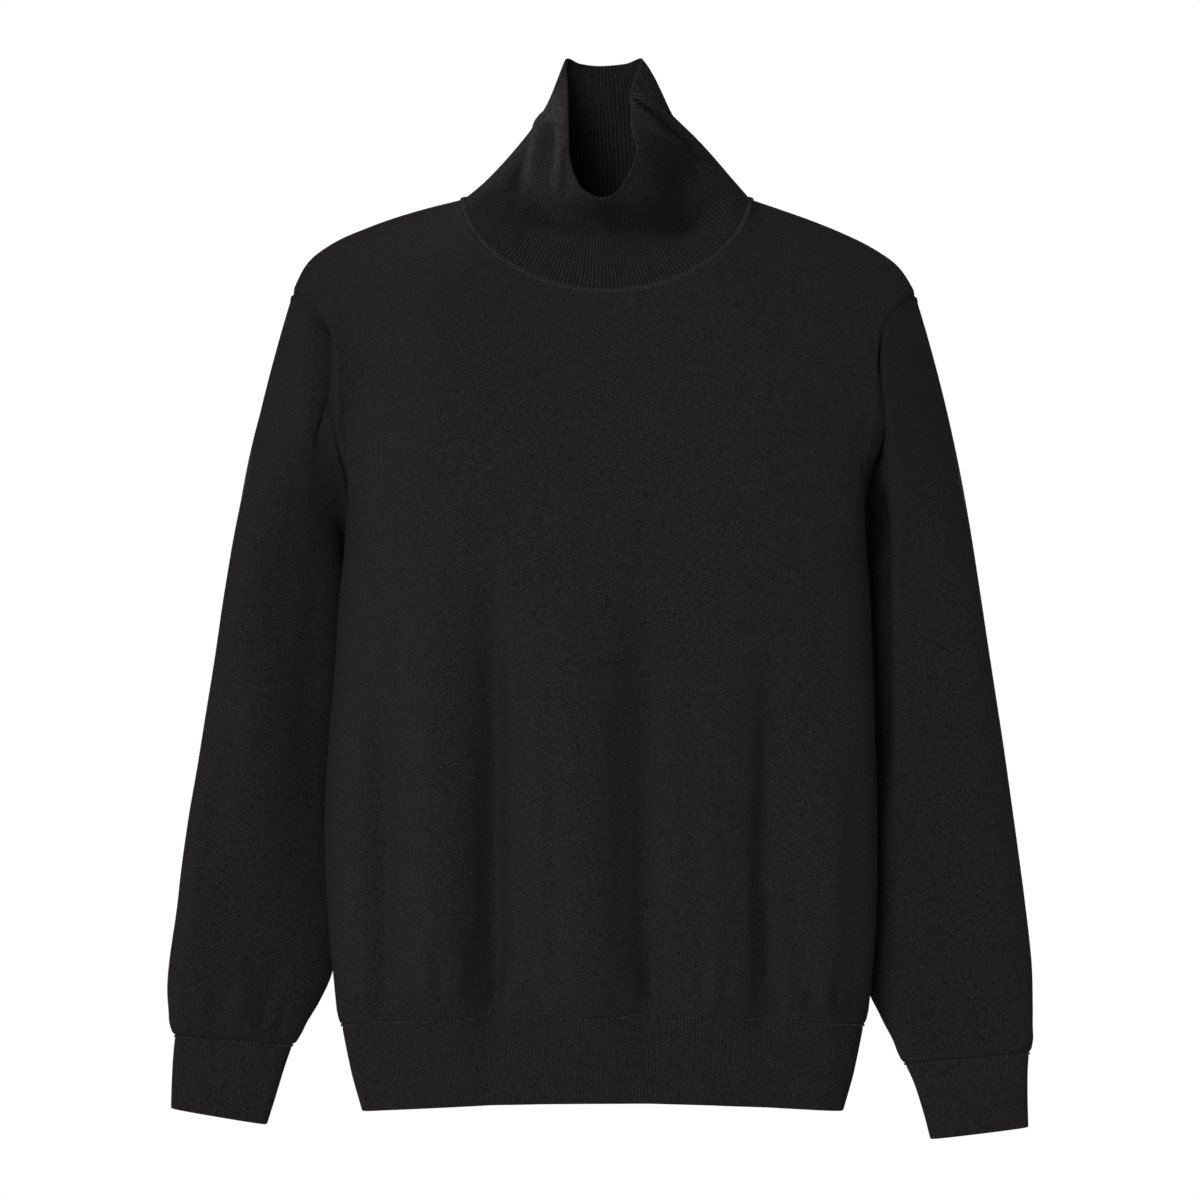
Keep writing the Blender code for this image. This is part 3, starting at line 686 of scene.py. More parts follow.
def body_ring(drop, facing, count=PANEL_COLUMNS):
    """Half of the body at one drop; facing is -1 for the front and 1 for the back."""
    right, left, front, back = (
        column(BODY, name, "drop", drop) for name in ("right_side", "left_side", "front", "back")
    )
    middle = np.array([(left - right) / 2, (back - front) / 2, -drop])
    across = np.array([(left + right) / 2, 0.0, 0.0])
    forward = np.array([0.0, facing * (front + back) / 2, 0.0])
    ring = half_ring(middle, across, forward, BODY_ROUNDNESS, count)
    near_hem = np.clip((drop - HEM_DIP_FROM) / (HEM_DIP_WHOLE - HEM_DIP_FROM), 0.0, 1.0)
    ring[:, 2] -= HEM_CORNER_DIP * near_hem * (ring[:, 0] / HEM_CORNER_X) ** 2
    return ring


def neckline(facing):
    """The neck seam's front or back half, from the wearer's right to the left."""
    angle = np.linspace(0.0, np.pi, FINE_STEPS)
    reach = NECK_FRONT_REACH if facing < 0 else NECK_BACK_REACH
    fall = NECK_FRONT_DROP if facing < 0 else -NECK_BACK_RISE
    x = NECK_CENTRE_X - NECK_HALF_WIDTH * np.cos(angle)
    y = NECK_SIDE_Y + facing * reach * np.sin(angle) ** NECK_FULLNESS
    z = NECK_SIDE_RISE - (fall + NECK_SIDE_RISE) * np.sin(angle) ** NECK_SCOOP
    line = np.stack([x, y, z], axis=1)
    by_length = lengths_along(line)
    by_width = x - x[0]
    share = by_length / by_length[-1] + by_width / by_width[-1]
    even = np.linspace(0.0, share[-1], NECK_COLUMNS + 1)
    return read_along(even, share, line)


def top_edge(facing):
    """A panel's whole top edge: shoulder seam, neckline, shoulder seam."""
    right = smooth_line(xyz(RIGHT_SHOULDER), SHOULDER_COLUMNS)
    left = smooth_line(xyz(LEFT_SHOULDER), SHOULDER_COLUMNS)[::-1]
    return np.concatenate([right, neckline(facing)[1:-1], left])


def armhole(side, facing, count=YOKE_ROWS):
    """Half an armhole, armpit to shoulder; side is -1 on the wearer's right, 1 on the left."""
    rows = ARMHOLE_FRONT if facing < 0 else ARMHOLE_BACK
    ring = body_ring(ARMPIT_DROP, facing)
    armpit = ring[0] if side < 0 else ring[-1]
    tip = top_edge(facing)[0 if side < 0 else -1]
    drops = rows["drop"]
    x = armpit[0] + (tip[0] - armpit[0]) * rows["out"] / rows["out"][-1]
    z = armpit[2] + (tip[2] - armpit[2]) * (drops - drops[0]) / (drops[-1] - drops[0])
    return smooth_line(np.stack([x, rows["y"], z], axis=1), count)


def yoke_rows(facing):
    """A panel above the armpits: columns that climb and turn over the shoulder.

    The columns under the neck opening start on the same course and end at the neck.
    """
    foot = body_ring(ARMPIT_DROP, facing)
    top = top_edge(facing)
    across = even_shares(PANEL_COLUMNS)
    half = np.minimum(across, 1.0 - across)
    climb = column(YOKE, "climb", "across", half)[:, None]
    turn = column(YOKE, "turn", "across", half)
    leaving = unit(foot - body_ring(ARMPIT_DROP + CLIMB_READ_OVER, facing)) * climb
    zero = np.zeros_like(turn)
    arriving = np.stack([zero, -facing * turn, zero], axis=1)
    crown = top.copy()
    neck = slice(SHOULDER_COLUMNS, SHOULDER_COLUMNS + NECK_COLUMNS + 1)
    crown[neck, 1] = NECK_SIDE_Y
    crown[neck, 2] = NECK_SIDE_RISE + column(YOKE, "over_neck", "across", half)[neck]
    steps = even_shares(FINE_STEPS)[:, None, None]
    course = hermite(foot, crown, leaving, arriving, steps)
    pace = np.gradient(course, steps[:, 0, 0], axis=0)
    reach = np.full(half.shape, FINE_STEPS)
    off = np.linalg.norm(course[:, neck] - top[neck], axis=2)
    reach[neck] = np.argmin(off, axis=0)
    share = steps[reach, 0]
    arriving = pace[reach, np.arange(len(half))] * share
    lean = column(YOKE, "lean", "across", half) * np.sign(0.5 - across)
    arriving[:, 0] += lean * np.linalg.norm(arriving, axis=1)
    leaving = leaving * share
    pull_right = np.clip(1.0 - 2.0 * across, 0.0, 1.0) ** 2
    pull_left = pull_right[::-1]
    edge_right = armhole(-1, facing)
    edge_left = armhole(1, facing)
    rows = []
    for i, t in enumerate(even_shares(YOKE_ROWS)):
        row = hermite(foot, top, leaving, arriving, t)
        move_right = edge_right[i] - row[0]
        move_left = edge_left[i] - row[-1]
        rows.append(row + np.outer(pull_right, move_right) + np.outer(pull_left, move_left))
    return rows[::-1]


def eased(points, times, upto):
    """The sheet with its points above row upto drawn toward the middle of their neighbours."""
    points = points.copy()
    for _ in range(times):
        beside = points[1:upto, :-2] + points[1:upto, 2:]
        along_column = points[: upto - 1, 1:-1] + points[2 : upto + 1, 1:-1]
        middle = (beside + along_column) / 4.0
        points[1:upto, 1:-1] += EASING_SHARE * (middle - points[1:upto, 1:-1])
    return points


def facing_out(points, closed):
    """Unit normals of a sheet of points, turned away from its middle."""
    if closed:
        points = np.concatenate([points, points[:, :1]], axis=1)
    falling = points[1:, 1:] - points[:-1, :-1]
    rising = points[:-1, 1:] - points[1:, :-1]
    facet = np.cross(falling, rising)
    normal = np.zeros_like(points)
    for rows in (slice(None, -1), slice(1, None)):
        for columns in (slice(None, -1), slice(1, None)):
            normal[rows, columns] += facet
    if closed:
        normal[:, 0] += normal[:, -1]
        points, normal = points[:, :-1], normal[:, :-1]
    normal = unit(normal)
    middle = points.mean(axis=1, keepdims=True)
    if not closed:
        middle[..., 1] = 0.0
    turned = np.sum(normal * (points - middle)) < 0.0
    return -normal if turned else normal


def near_ends(count, each):
    """Places along count coarse steps, each steps finer, and closer still at both ends."""
    near = np.array(NEAR_SEAM)
    even = np.linspace(0.0, count, count * each + 1)
    return np.unique(np.round(np.concatenate([even, near, count - near]), PLACE_DECIMALS))


def coarse_rows(facing):
    return yoke_rows(facing)[:-1] + [body_ring(drop, facing) for drop in BODY_ROW_DROPS]


def row_keys():
    """How far down the cloth each coarse row lies, the same for both panels."""
    steps = np.linalg.norm(np.diff(np.stack(coarse_rows(-1)), axis=0), axis=2).mean(axis=1)
    return np.concatenate([[0.0], np.cumsum(steps)])


def armpit_row(down):
    """The first fine row at or below the armpit level."""
    return int(np.searchsorted(down, row_keys()[YOKE_ROWS] - HAIR))


def panel_net(facing):
    """A panel as a fine sheet of points, without folds, and its places across and down."""
    coarse = eased(np.stack(coarse_rows(facing)), YOKE_EASING, YOKE_ROWS + 1)
    keys = np.arange(PANEL_COLUMNS + 1.0)
    places = near_ends(PANEL_COLUMNS, PANEL_FINE)
    corners = (SHOULDER_COLUMNS, SHOULDER_COLUMNS + NECK_COLUMNS)
    wide = [smooth_between(keys, coarse[0], places, corners)]
    wide += [smooth(keys, row, places) for row in coarse[1:]]
    wide = np.stack(wide)
    down = row_keys()
    even = np.linspace(0.0, down[-1], PANEL_FINE_ROWS)
    close = np.array(ROWS_AT_SEAM)
    at = np.unique(np.concatenate([even, close, down[-1] - close]))
    free = smooth(down, wide, at)
    edged = smooth_between(down, wide, at, (YOKE_ROWS,))
    from_edge = np.minimum(places, PANEL_COLUMNS - places)
    hold = np.clip(1.0 - from_edge, 0.0, 1.0)[None, :, None]
    return free * (1.0 - hold) + edged * hold, places, at


# Folds, creases and seams, as heights over the form


def fold_rise(points, places, facing):
    """How far the long folds stand out at each point of a panel or a hem rib."""
    folds = FRONT_FOLDS if facing < 0 else BACK_FOLDS
    drop = -points[..., 2]
    share = column(FOLD_GROWTH, "share", "drop", drop)
    rise = np.zeros_like(drop)
    for x_top, x_hem, from_drop, width, height in zip(*folds.values()):
        down = np.clip((drop - from_drop) / (HEM_SEAM_DROP - from_drop), 0.0, 1.0)
        middle = x_top + (x_hem - x_top) * down
        shape = swell(points[..., 0] - middle, height, width)
        rise += shape * np.minimum(1.0, FOLD_ONSET * down)
    from_seam = np.minimum(places, PANEL_COLUMNS - places) / PANEL_COLUMNS
    return rise * share * np.minimum(1.0, FOLD_SIDE_FADE * from_seam)


def crease_rise(points, normals, creases):
    """How far the creases stand out at each point, on the side that they are on."""
    rise = np.zeros(points.shape[:2])
    x, drop = points[..., 0], -points[..., 2]
    for facing, x0, drop0, x1, drop1, width, height in zip(*creases.values()):
        on_side = np.clip(facing * normals[..., 1] * CREASE_SIDE_BLEND, 0.0, 1.0)
        run = np.array([x1 - x0, drop1 - drop0])
        length = np.hypot(*run)
        run = run / length
        ahead = (x - x0) * run[0] + (drop - drop0) * run[1]
        aside = (x - x0) * run[1] - (drop - drop0) * run[0]
        share = ahead / length
        taper = soft_step(share / CREASE_TAPER) * soft_step((1.0 - share) / CREASE_TAPER)
        rise += swell(aside, height * on_side * taper, width)
    return rise


def seam_relief(distance):
    """A seam's narrow groove and the soft ridge of its turned-in edge beside it."""
    groove = swell(distance, -SEAM_SINK, SEAM_SINK_WIDTH)
    return groove + swell(distance, SEAM_RIDGE, SEAM_RIDGE_WIDTH, SEAM_RIDGE_AT)


def one_side(creases, facing):
    keep = creases["facing"] == facing
    return {name: values[keep] for name, values in creases.items()}


def snapped(points, row, target, fade):
    """The sheet with one end row moved onto a target line, and the rows beside it following."""
    edge = points[row]
    start, step = target[:-1], np.diff(target, axis=0)
    gap = edge[:, None] - start[None]
    share = np.clip((gap * step).sum(2) / (step**2).sum(1), 0.0, 1.0)
    foot = start[None] + step[None] * share[..., None]
    nearest = np.argmin(np.linalg.norm(edge[:, None] - foot, axis=2), axis=1)
    move = foot[np.arange(len(edge)), nearest] - edge
    from_edge = np.arange(len(points)) if row == 0 else np.arange(len(points))[::-1]
    hold = np.clip(1.0 - from_edge / fade, 0.0, 1.0) ** 2
    return points + hold[:, None, None] * move


# Meshes


def round_wall(sheet):
    """Values of a sheet carried round its wall: outside, lower rim, inside, upper rim."""
    return np.concatenate([sheet, sheet[-1:], sheet[::-1], sheet[:1]])


def cloth_mesh(outer, inner, closed, u, v):
    """A thin wall between two like sheets, with rounded free edges and a UV map in metres."""
    rows, wide = outer.shape[:2]
    middle = (outer + inner) / 2
    bottom = middle[-1:] + RIM_ROUND * (outer[-1:] - outer[-2:-1])
    top = middle[:1] + RIM_ROUND * (outer[:1] - outer[1:2])
    loop = np.concatenate([outer, bottom, inner[::-1], top])
    side, fall = round_wall(u), round_wall(v)
    around = len(loop)
    spans = wide if closed else wide - 1
    r, c = np.meshgrid(np.arange(around), np.arange(spans), indexing="ij")
    below, beside = (r + 1) % around, (c + 1) % wide
    corners = ((r, c, c), (below, c, c), (below, beside, c + 1), (r, beside, c + 1))
    faces = np.stack([a * wide + b for a, b, _ in corners], axis=-1).reshape(-1, 4).tolist()
    uv = np.stack([np.stack([side[a, k], fall[a, b]], axis=-1) for a, b, k in corners], axis=2)
    uv = [uv.reshape(-1, 2)]
    if not closed:
        rungs = [[k, k + 1, 2 * rows - k - 1, 2 * rows - k] for k in range(rows - 1)]
        ends = [[around - 1, 0, 2 * rows], [rows - 1, rows, rows + 1]]
        for edge in (0, wide - 1):
            for ring in rungs + ends:
                ring = ring if edge else ring[::-1]
                faces.append([k * wide + edge for k in ring])
                uv.append(np.array([(side[k, edge], fall[k, edge]) for k in ring]))
    mesh = bpy.data.meshes.new("cloth")
    mesh.from_pydata(loop.reshape(-1, 3) * MM, [], faces)
    layer = mesh.uv_layers.new(name="knit")
    layer.data.foreach_set("uv", np.concatenate(uv).reshape(-1) * MM)
    net = bmesh.new()
    net.from_mesh(mesh)
    inside_out = net.calc_volume(signed=True) < 0.0
    net.free()
    if inside_out:
        mesh.flip_normals()
    mesh.shade_smooth()
    return mesh


def into_scene(name, data):
    thing = bpy.data.objects.new(name, data)
    bpy.context.scene.collection.objects.link(thing)
    return thing


def placed(name, mesh, material):
    """Adds a finished mesh to the scene, riding on the sweater's one body."""
    mesh.name = name
    mesh.materials.clear()
    mesh.materials.append(material)
    thing = into_scene(name, mesh)
    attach(thing, "root")
    return thing


def worn(node, ending, mesh, material):
    """Places a mesh that is shown for one node of the sweater."""
    thing = placed(node + ending, mesh, material)
    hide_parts(node)
    return thing


# Body panels


def finished_panels():
    """Front and back with folds, creases and seam relief, joined at shoulders and sides."""
    nets = {facing: panel_net(facing) for facing in (-1, 1)}
    normals = {facing: facing_out(nets[facing][0], False) for facing in (-1, 1)}
    front, back = normals[-1], normals[1]
    places = nets[-1][1]
    armpit = armpit_row(nets[-1][2])
    shoulder = (places <= SHOULDER_COLUMNS) | (places >= SHOULDER_COLUMNS + NECK_COLUMNS)
    below_armpit = slice(armpit, None)
    for seam in ((below_armpit, 0), (below_armpit, -1), (0, shoulder)):
        front[seam] = back[seam] = unit(front[seam] + back[seam])
    panels = {}
    for facing, normal in normals.items():
        points = nets[facing][0]
        across, down = across_lengths(points), down_lengths(points)
        from_armhole = np.minimum(across, across[:, -1:] - across)
        above_hem = down[-1:] - down
        rise = fold_rise(points, places, facing)
        rise += crease_rise(points, normal, one_side(BODY_CREASES, facing))
        rise += seam_relief(np.minimum(from_armhole, down))
        depth = column(ARMHOLE_HOLLOW, "depth", "drop", -points[..., 2])
        depth *= 1.0 if facing < 0 else HOLLOW_BEHIND
        rise -= swell(from_armhole, depth, HOLLOW_WIDTH)
        rise += HEM_SINK_SHARE * seam_relief(above_hem)
        rise += swell(above_hem, HEM_PUFF, HEM_PUFF_WIDTH, HEM_PUFF_AT)
        panels[facing] = raised(points, normal, rise)
    return panels, normals, places, armpit


def panel_mesh(points, normal):
    """A finished panel with its wall; wales run up and down, courses lie level at the hem."""
    across, down = across_lengths(points), down_lengths(points)
    u = across - across[:, points.shape[1] // 2][:, None]
    return cloth_mesh(points, points - normal * JERSEY_WALL, False, u, down[-1:] - down)


# Sleeves


def oval_rings(sections, keys, at, half):
    """Rings across a sleeve or a cuff, each from its inner edge round by the front."""
    read = {name: smooth(keys, values, at) for name, values in sections.items()}
    rings = []
    for outer, outer_drop, inner, inner_drop, y, depth in zip(*read.values()):
        inside = np.array([inner, y, -inner_drop])
        outside = np.array([outer, y, -outer_drop])
        centre, reach = (inside + outside) / 2, (outside - inside) / 2
        to_front = np.array([0.0, -depth / 2, 0.0])
        front = half_ring(centre, reach, to_front, SLEEVE_ROUNDNESS, half)
        back = half_ring(centre, reach, -to_front, SLEEVE_ROUNDNESS, half)
        rings.append(np.concatenate([front, back[-2:0:-1]]))
    return np.stack(rings)


def sleeve_net(sections, side):
    """A sleeve's form as a fine sheet: a head that bends down from the armhole, then ovals."""
    half = SLEEVE_HALF_COLUMNS
    front, back = armhole(side, -1, half), armhole(side, 1, half)
    ring = np.concatenate([front, back[-2:0:-1]])
    keys = np.arange(len(sections["outer"]), dtype=float)
    at = np.linspace(0.0, keys[-1], SLEEVE_BODY_ROWS)
    ovals = oval_rings(sections, keys, at, half)
    first, second = ovals[0], oval_rings(sections, keys, np.array([HEAD_AIM]), half)[0]
    height = np.abs(np.linspace(-1.0, 1.0, 2 * half + 1)[:-1])
    lean = HEAD_LEAN + (1.0 - HEAD_LEAN) * height**HEAD_BEND
    fall = HEAD_FALL * (1.0 - height**HEAD_BEND)
    way = unit(np.stack([side * lean, np.zeros_like(lean), -fall], axis=1))
    span = np.linalg.norm(first - ring, axis=1)[:, None]
    leaving = way * span * (1.0 - ARMPIT_SHORTENING * height[:, None] ** ARMPIT_ONSET)
    arriving = unit(second - first) * span
    even = even_shares(SLEEVE_HEAD_ROWS)[:-1]
    steps = np.unique(np.concatenate([even, HEAD_ROWS_AT_SEAM]))
    head = np.stack([hermite(ring, first, leaving, arriving, t) for t in steps])
    return np.concatenate([head, ovals])


def finished_sleeve(sections, side, creases, armhole_edge):
    """A sleeve with its creases and seams, its first row on the body's armhole."""
    points = snapped(sleeve_net(sections, side), 0, armhole_edge, SLEEVE_HEAD_ROWS)
    normal = facing_out(points, True)
    down = down_lengths(points)
    from_end = down[-1:] - down
    rise = crease_rise(points, normal, creases) * np.minimum(1.0, down / CREASE_FROM_SEAM)
    rise += seam_relief(down) * np.minimum(1.0, down / SEAM_SINK_WIDTH)
    rise += HEM_SINK_SHARE * seam_relief(from_end)
    rise += swell(from_end, CUFF_PUFF, CUFF_PUFF_WIDTH, CUFF_PUFF_AT)
    return raised(points, normal, rise)


def sleeve_mesh(points):
    down = down_lengths(points)
    inner = points - facing_out(points, True) * JERSEY_WALL
    return cloth_mesh(points, inner, True, loop_lengths(points), down[-1:] - down)


# Ribs of the hem, cuffs and collar


def ribs_on(points, normal, rise, crest_count):
    """Raises one by one ribs along the columns of a sheet, soft at their start."""
    profile = np.resize(RIB_PROFILE, crest_count * RIB_COLUMNS)
    profile = profile if points.shape[1] == len(profile) else np.append(profile, profile[0])
    start = np.clip(down_lengths(points) / RIB_ONSET, 0.0, 1.0)
    return raised(points, normal, profile * rise * start)


def rib_mesh(points, normal, rise, crest_count, closed):
    """A ribbed wall; the ribs' crests on one face are the grooves of the other."""
    ribbed = ribs_on(points, normal, rise, crest_count)
    wide = points.shape[1] + (1 if closed else 0)
    u = np.tile(np.arange(wide) * RIB_STITCH / RIB_COLUMNS, (len(points), 1))
    inner = ribbed - normal * RIB_WALL
    return cloth_mesh(ribbed, inner, closed, u, down_lengths(points))


def cuff_rings(sections, sleeve_end):
    """A cuff's fine tube below a sleeve's last ring."""
    half = CUFF_RIBS * RIB_COLUMNS // 2
    keys = np.arange(1.0, 1.0 + len(sections["outer"]))
    cuff = oval_rings(sections, keys, keys, half)
    start = along(closed_up(sleeve_end), even_shares(2 * half))[:-1]
    coarse = np.concatenate([start[None], cuff])
    keys = np.concatenate([[0.0], keys])
    return smooth(keys, coarse, np.linspace(0.0, keys[-1], CUFF_ROWS))


def hem_rows(facing, panel_end):
    """Half of the hem rib below a panel's last row."""
    count = HEM_RIBS * RIB_COLUMNS
    drops = ((HEM_SEAM_DROP + HEM_DROP) / 2, HEM_DROP)
    start = along(panel_end, even_shares(count))
    coarse = np.stack([start] + [body_ring(drop, facing, count) for drop in drops])
    rise = fold_rise(coarse, np.linspace(0.0, PANEL_COLUMNS, count + 1), facing)
    rise[0] = 0.0
    coarse = raised(coarse, facing_out(coarse, False), rise)
    return smooth(np.arange(3.0), coarse, np.linspace(0.0, 2.0, HEM_ROWS))


def collar_sheet(neck_edge):
    """The collar from the neck seam to its free edge, and the painted light and shade on it."""
    count = COLLAR_RIBS * RIB_COLUMNS
    loop = closed_up(neck_edge)
    run = lengths_along(loop)
    coarse = np.concatenate([neckline(-1), neckline(1)[-2::-1]])
    nearest = np.argmin(np.linalg.norm(coarse[:, None] - loop[None], axis=2), axis=1)
    nearest[-1] = len(loop) - 1
    share = even_shares(count)[:-1]
    turn = np.interp(share * run[-1], run[nearest], np.linspace(0.0, 1.0, len(coarse)))
    base = along(loop, share)
    rim, leaving, arriving = (
        np.stack([column(data, name, "turn", turn, 1.0) for name in names.split()], axis=1)
        for data, names in (
            (COLLAR_RIM, "x y rise"),
            (COLLAR_FLOW, "start_x start_y start_z"),
            (COLLAR_FLOW, "end_x end_y end_z"),
        )
    )
    steps = np.linspace(0.0, 1.0, COLLAR_ROWS)
    points = np.stack([hermite(base, rim, leaving, arriving, t) for t in steps])
    normal = facing_out(points, True)
    # painted light and shade for the collar's colour: paler on the flap beside the opening, darker
    # in the hollows
    painted_light = crease_rise(points, normal, COLLAR_PAINTED_LIGHT)
    return raised(points, normal, crease_rise(points, normal, COLLAR_CREASES)), painted_light


def note_painted_light(mesh, painted_light):
    """Keeps the painted light and shade at every point, for the yarn's colour."""
    layer = mesh.attributes.new("painted_light", "FLOAT", "POINT")
    layer.data.foreach_set("value", round_wall(painted_light).reshape(-1))


def linking_mesh(collar, neck_edge, below):
    """The raised linking course over the neck seam, in slanted loops, one to a rib."""
    loop = closed_up(neck_edge)
    run = lengths_along(loop) / lengths_along(loop)[-1]
    count = collar.shape[1]
    share = even_shares(count)[:-1]
    to_body = read_along(share, run, closed_up(below - neck_edge))
    out = facing_out(collar, True)[0]
    lift = out * LINK_LIFT
    start = collar[0] + unit(to_body) * LINK_HALF_WIDTH + lift
    end = collar[0] + unit(collar[COLLAR_REACH_ROW] - collar[0]) * LINK_HALF_WIDTH + lift
    across = np.linspace(0.0, 1.0, LINK_ROWS)[:, None, None]
    arch = 4.0 * across * (1.0 - across)
    phase = np.arange(count)[None, :, None] / LINK_LOOP_COLUMNS + LINK_SLANT * across
    loops = 1.0 + LINK_LOOP_RELIEF * np.cos(2.0 * np.pi * phase)
    chord = start * (1.0 - across) + end * across
    outer = chord + out * (LINK_RISE * np.sqrt(arch) * loops)
    inner = chord - out * (LINK_DEPTH * arch)
    u = np.tile(np.arange(count + 1) * RIB_STITCH / RIB_COLUMNS, (LINK_ROWS, 1))
    v = np.tile(across[:, :, 0] * 2.0 * LINK_HALF_WIDTH, (1, count))
    return cloth_mesh(outer, inner, True, u, v)


# Node trees


def live(sockets, name):
    """The socket of this name or number, out of those that the node's settings leave in use."""
    in_use = [socket for socket in sockets if socket.enabled]
    return next(socket for k, socket in enumerate(in_use) if name in (socket.name, k))


def fed(tree, kind, inputs=(), gives=0, **settings):
    """Adds a node, feeds its inputs with plain values or sockets, and returns one output."""
    node = tree.nodes.new(kind)
    for name, value in settings.items():
        setattr(node, name, value)
    feed(tree, node, dict(inputs))
    return live(node.outputs, gives)


def feed(tree, node, inputs):
    """Sets a node's inputs to plain values, or links them to sockets."""
    for name, value in inputs.items():
        socket = live(node.inputs, name)
        if isinstance(value, bpy.types.NodeSocket):
            tree.links.new(value, socket)
        else:
            socket.default_value = value


def maths(tree, operation, *values):
    """The result of a math node, fed with sockets or plain numbers."""
    return fed(tree, "ShaderNodeMath", enumerate(values), operation=operation)


# Stitch rows: one small loop of yarn, repeated along a seam by a node tree


def stitch_shape():
    """One loop of linking yarn as a small lengthened bead."""
    mesh = bpy.data.meshes.new("stitch")
    net = bmesh.new()
    bmesh.ops.create_uvsphere(net, u_segments=STITCH_SIDES, v_segments=STITCH_RINGS, radius=0.5)
    net.verts.sort(key=lambda point: point.co.dot(STITCH_ORDER))
    net.edges.sort(key=lambda edge: (edge.verts[0].co + edge.verts[1].co).dot(STITCH_ORDER))
    net.faces.sort(key=lambda face: face.calc_center_median().dot(STITCH_ORDER))
    bmesh.ops.scale(net, vec=[size * MM for size in STITCH_SIZE], verts=net.verts)
    net.to_mesh(mesh)
    net.free()
    mesh.shade_smooth()
    return into_scene("stitch", mesh)


def stitch_tree():
    """Node tree that lays a stitch at every pitch of a seam line, square to the cloth."""
    tree = bpy.data.node_groups.new("stitch_row", "GeometryNodeTree")
    for name, way, kind in (
        ("Seam line", "INPUT", "Geometry"),
        ("Stitch", "INPUT", "Object"),
        ("Pitch", "INPUT", "Float"),
        ("Slant", "INPUT", "Float"),
        ("Unevenness", "INPUT", "Float"),
        ("Seed", "INPUT", "Int"),
        ("Yarn", "INPUT", "Material"),
        ("Stitches", "OUTPUT", "Geometry"),
    ):
        tree.interface.new_socket(name, in_out=way, socket_type="NodeSocket" + kind)
    given = tree.nodes.new("NodeGroupInput").outputs
    line = fed(tree, "GeometryNodeMeshToCurve", {"Mesh": given["Seam line"]})
    spaced = {"Curve": line, "Length": given["Pitch"]}
    even = fed(tree, "GeometryNodeResampleCurve", spaced, mode="LENGTH")
    attribute = {"Name": "outward"}
    outward = fed(tree, "GeometryNodeInputNamedAttribute", attribute, data_type="FLOAT_VECTOR")
    stand = fed(tree, "FunctionNodeAlignRotationToVector", {"Vector": outward}, axis="Z")
    onward = {"Rotation": stand, "Vector": fed(tree, "GeometryNodeInputTangent")}
    follow = fed(tree, "FunctionNodeAlignRotationToVector", onward, axis="X", pivot_axis="Z")
    lowest = maths(tree, "MULTIPLY", given["Unevenness"], -1.0)
    bounds = {"Min": lowest, "Max": given["Unevenness"], "Seed": given["Seed"]}
    spread = fed(tree, "FunctionNodeRandomValue", bounds, data_type="FLOAT")
    angles = fed(tree, "ShaderNodeCombineXYZ", {"Z": maths(tree, "ADD", given["Slant"], spread)})
    turn = fed(tree, "FunctionNodeEulerToRotation", {"Euler": angles})
    turned = {"Rotation": follow, "Rotate By": turn}
    slanted = fed(tree, "FunctionNodeRotateRotation", turned, rotation_space="LOCAL")
    stitch = fed(tree, "GeometryNodeObjectInfo", {"Object": given["Stitch"]}, "Geometry")
    rows = {"Points": even, "Instance": stitch, "Rotation": slanted}
    laid = fed(tree, "GeometryNodeInstanceOnPoints", rows)
    real = fed(tree, "GeometryNodeRealizeInstances", {"Geometry": laid})
    yarned = {"Geometry": real, "Material": given["Yarn"]}
    dressed = fed(tree, "GeometryNodeSetMaterial", yarned)
    feed(tree, tree.nodes.new("NodeGroupOutput"), {"Stitches": dressed})
    return tree


def stitch_row(name, tree, shape, line, outward, closed, seed, yarn):
    """A row of stitches along a line on the cloth, as a plain mesh."""
    count = len(line)
    edges = [(k, (k + 1) % count) for k in range(count if closed else count - 1)]
    guide_mesh = bpy.data.meshes.new(name)
    guide_mesh.from_pydata((line + outward * STITCH_LIFT) * MM, edges, [])
    direction = guide_mesh.attributes.new("outward", "FLOAT_VECTOR", "POINT")
    direction.data.foreach_set("vector", np.ascontiguousarray(outward, float).reshape(-1))
    guide = into_scene(name, guide_mesh)
    row = guide.modifiers.new("stitch row", "NODES")
    row.node_group = tree
    settings = {
        "Stitch": shape,
        "Pitch": STITCH_PITCH * MM,
        "Slant": STITCH_SLANT,
        "Unevenness": STITCH_UNEVENNESS,
        "Seed": seed,
        "Yarn": yarn,
    }
    for item in tree.interface.items_tree:
        if item.name in settings:
            row[item.identifier] = settings[item.name]
    guide.update_tag()
    depsgraph = bpy.context.evaluated_depsgraph_get()
    mesh = bpy.data.meshes.new_from_object(guide.evaluated_get(depsgraph))
    bpy.data.objects.remove(guide)
    return placed(name, mesh, yarn)


# Finishes


def stitch_height(tree, wale, course):
    """Height of plain knit stitches: two slanted legs to each wale, one loop to a course."""
    place = fed(tree, "ShaderNodeUVMap", uv_map="knit")
    parts = fed(tree, "ShaderNodeSeparateXYZ", {"Vector": place}).node.outputs
    wales = maths(tree, "DIVIDE", parts["X"], wale * MM)
    courses = maths(tree, "DIVIDE", parts["Y"], course * MM)
    off = maths(tree, "ABSOLUTE", maths(tree, "SUBTRACT", maths(tree, "FRACT", wales), 0.5))
    leg = maths(tree, "SINE", maths(tree, "MULTIPLY", off, 2.0 * np.pi))
    climb = maths(tree, "MULTIPLY", off, STITCH_CLIMB)
    phase = maths(tree, "MULTIPLY", maths(tree, "ADD", courses, climb), 2.0 * np.pi)
    loop = maths(tree, "MULTIPLY_ADD", maths(tree, "COSINE", phase), 0.5, 0.5)
    full = maths(tree, "POWER", leg, LEG_FULLNESS)
    return maths(tree, "MULTIPLY", full, maths(tree, "ADD", loop, 0.5)), off


def fleck(tree, size, detail):
    """Soft noise in the cloth's own space, with spots about `size` millimetres across."""
    place = fed(tree, "ShaderNodeTexCoord", gives="Object")
    spots = {"Vector": place, "Scale": 1.0 / (size * MM), "Detail": detail}
    return fed(tree, "ShaderNodeTexNoise", spots)


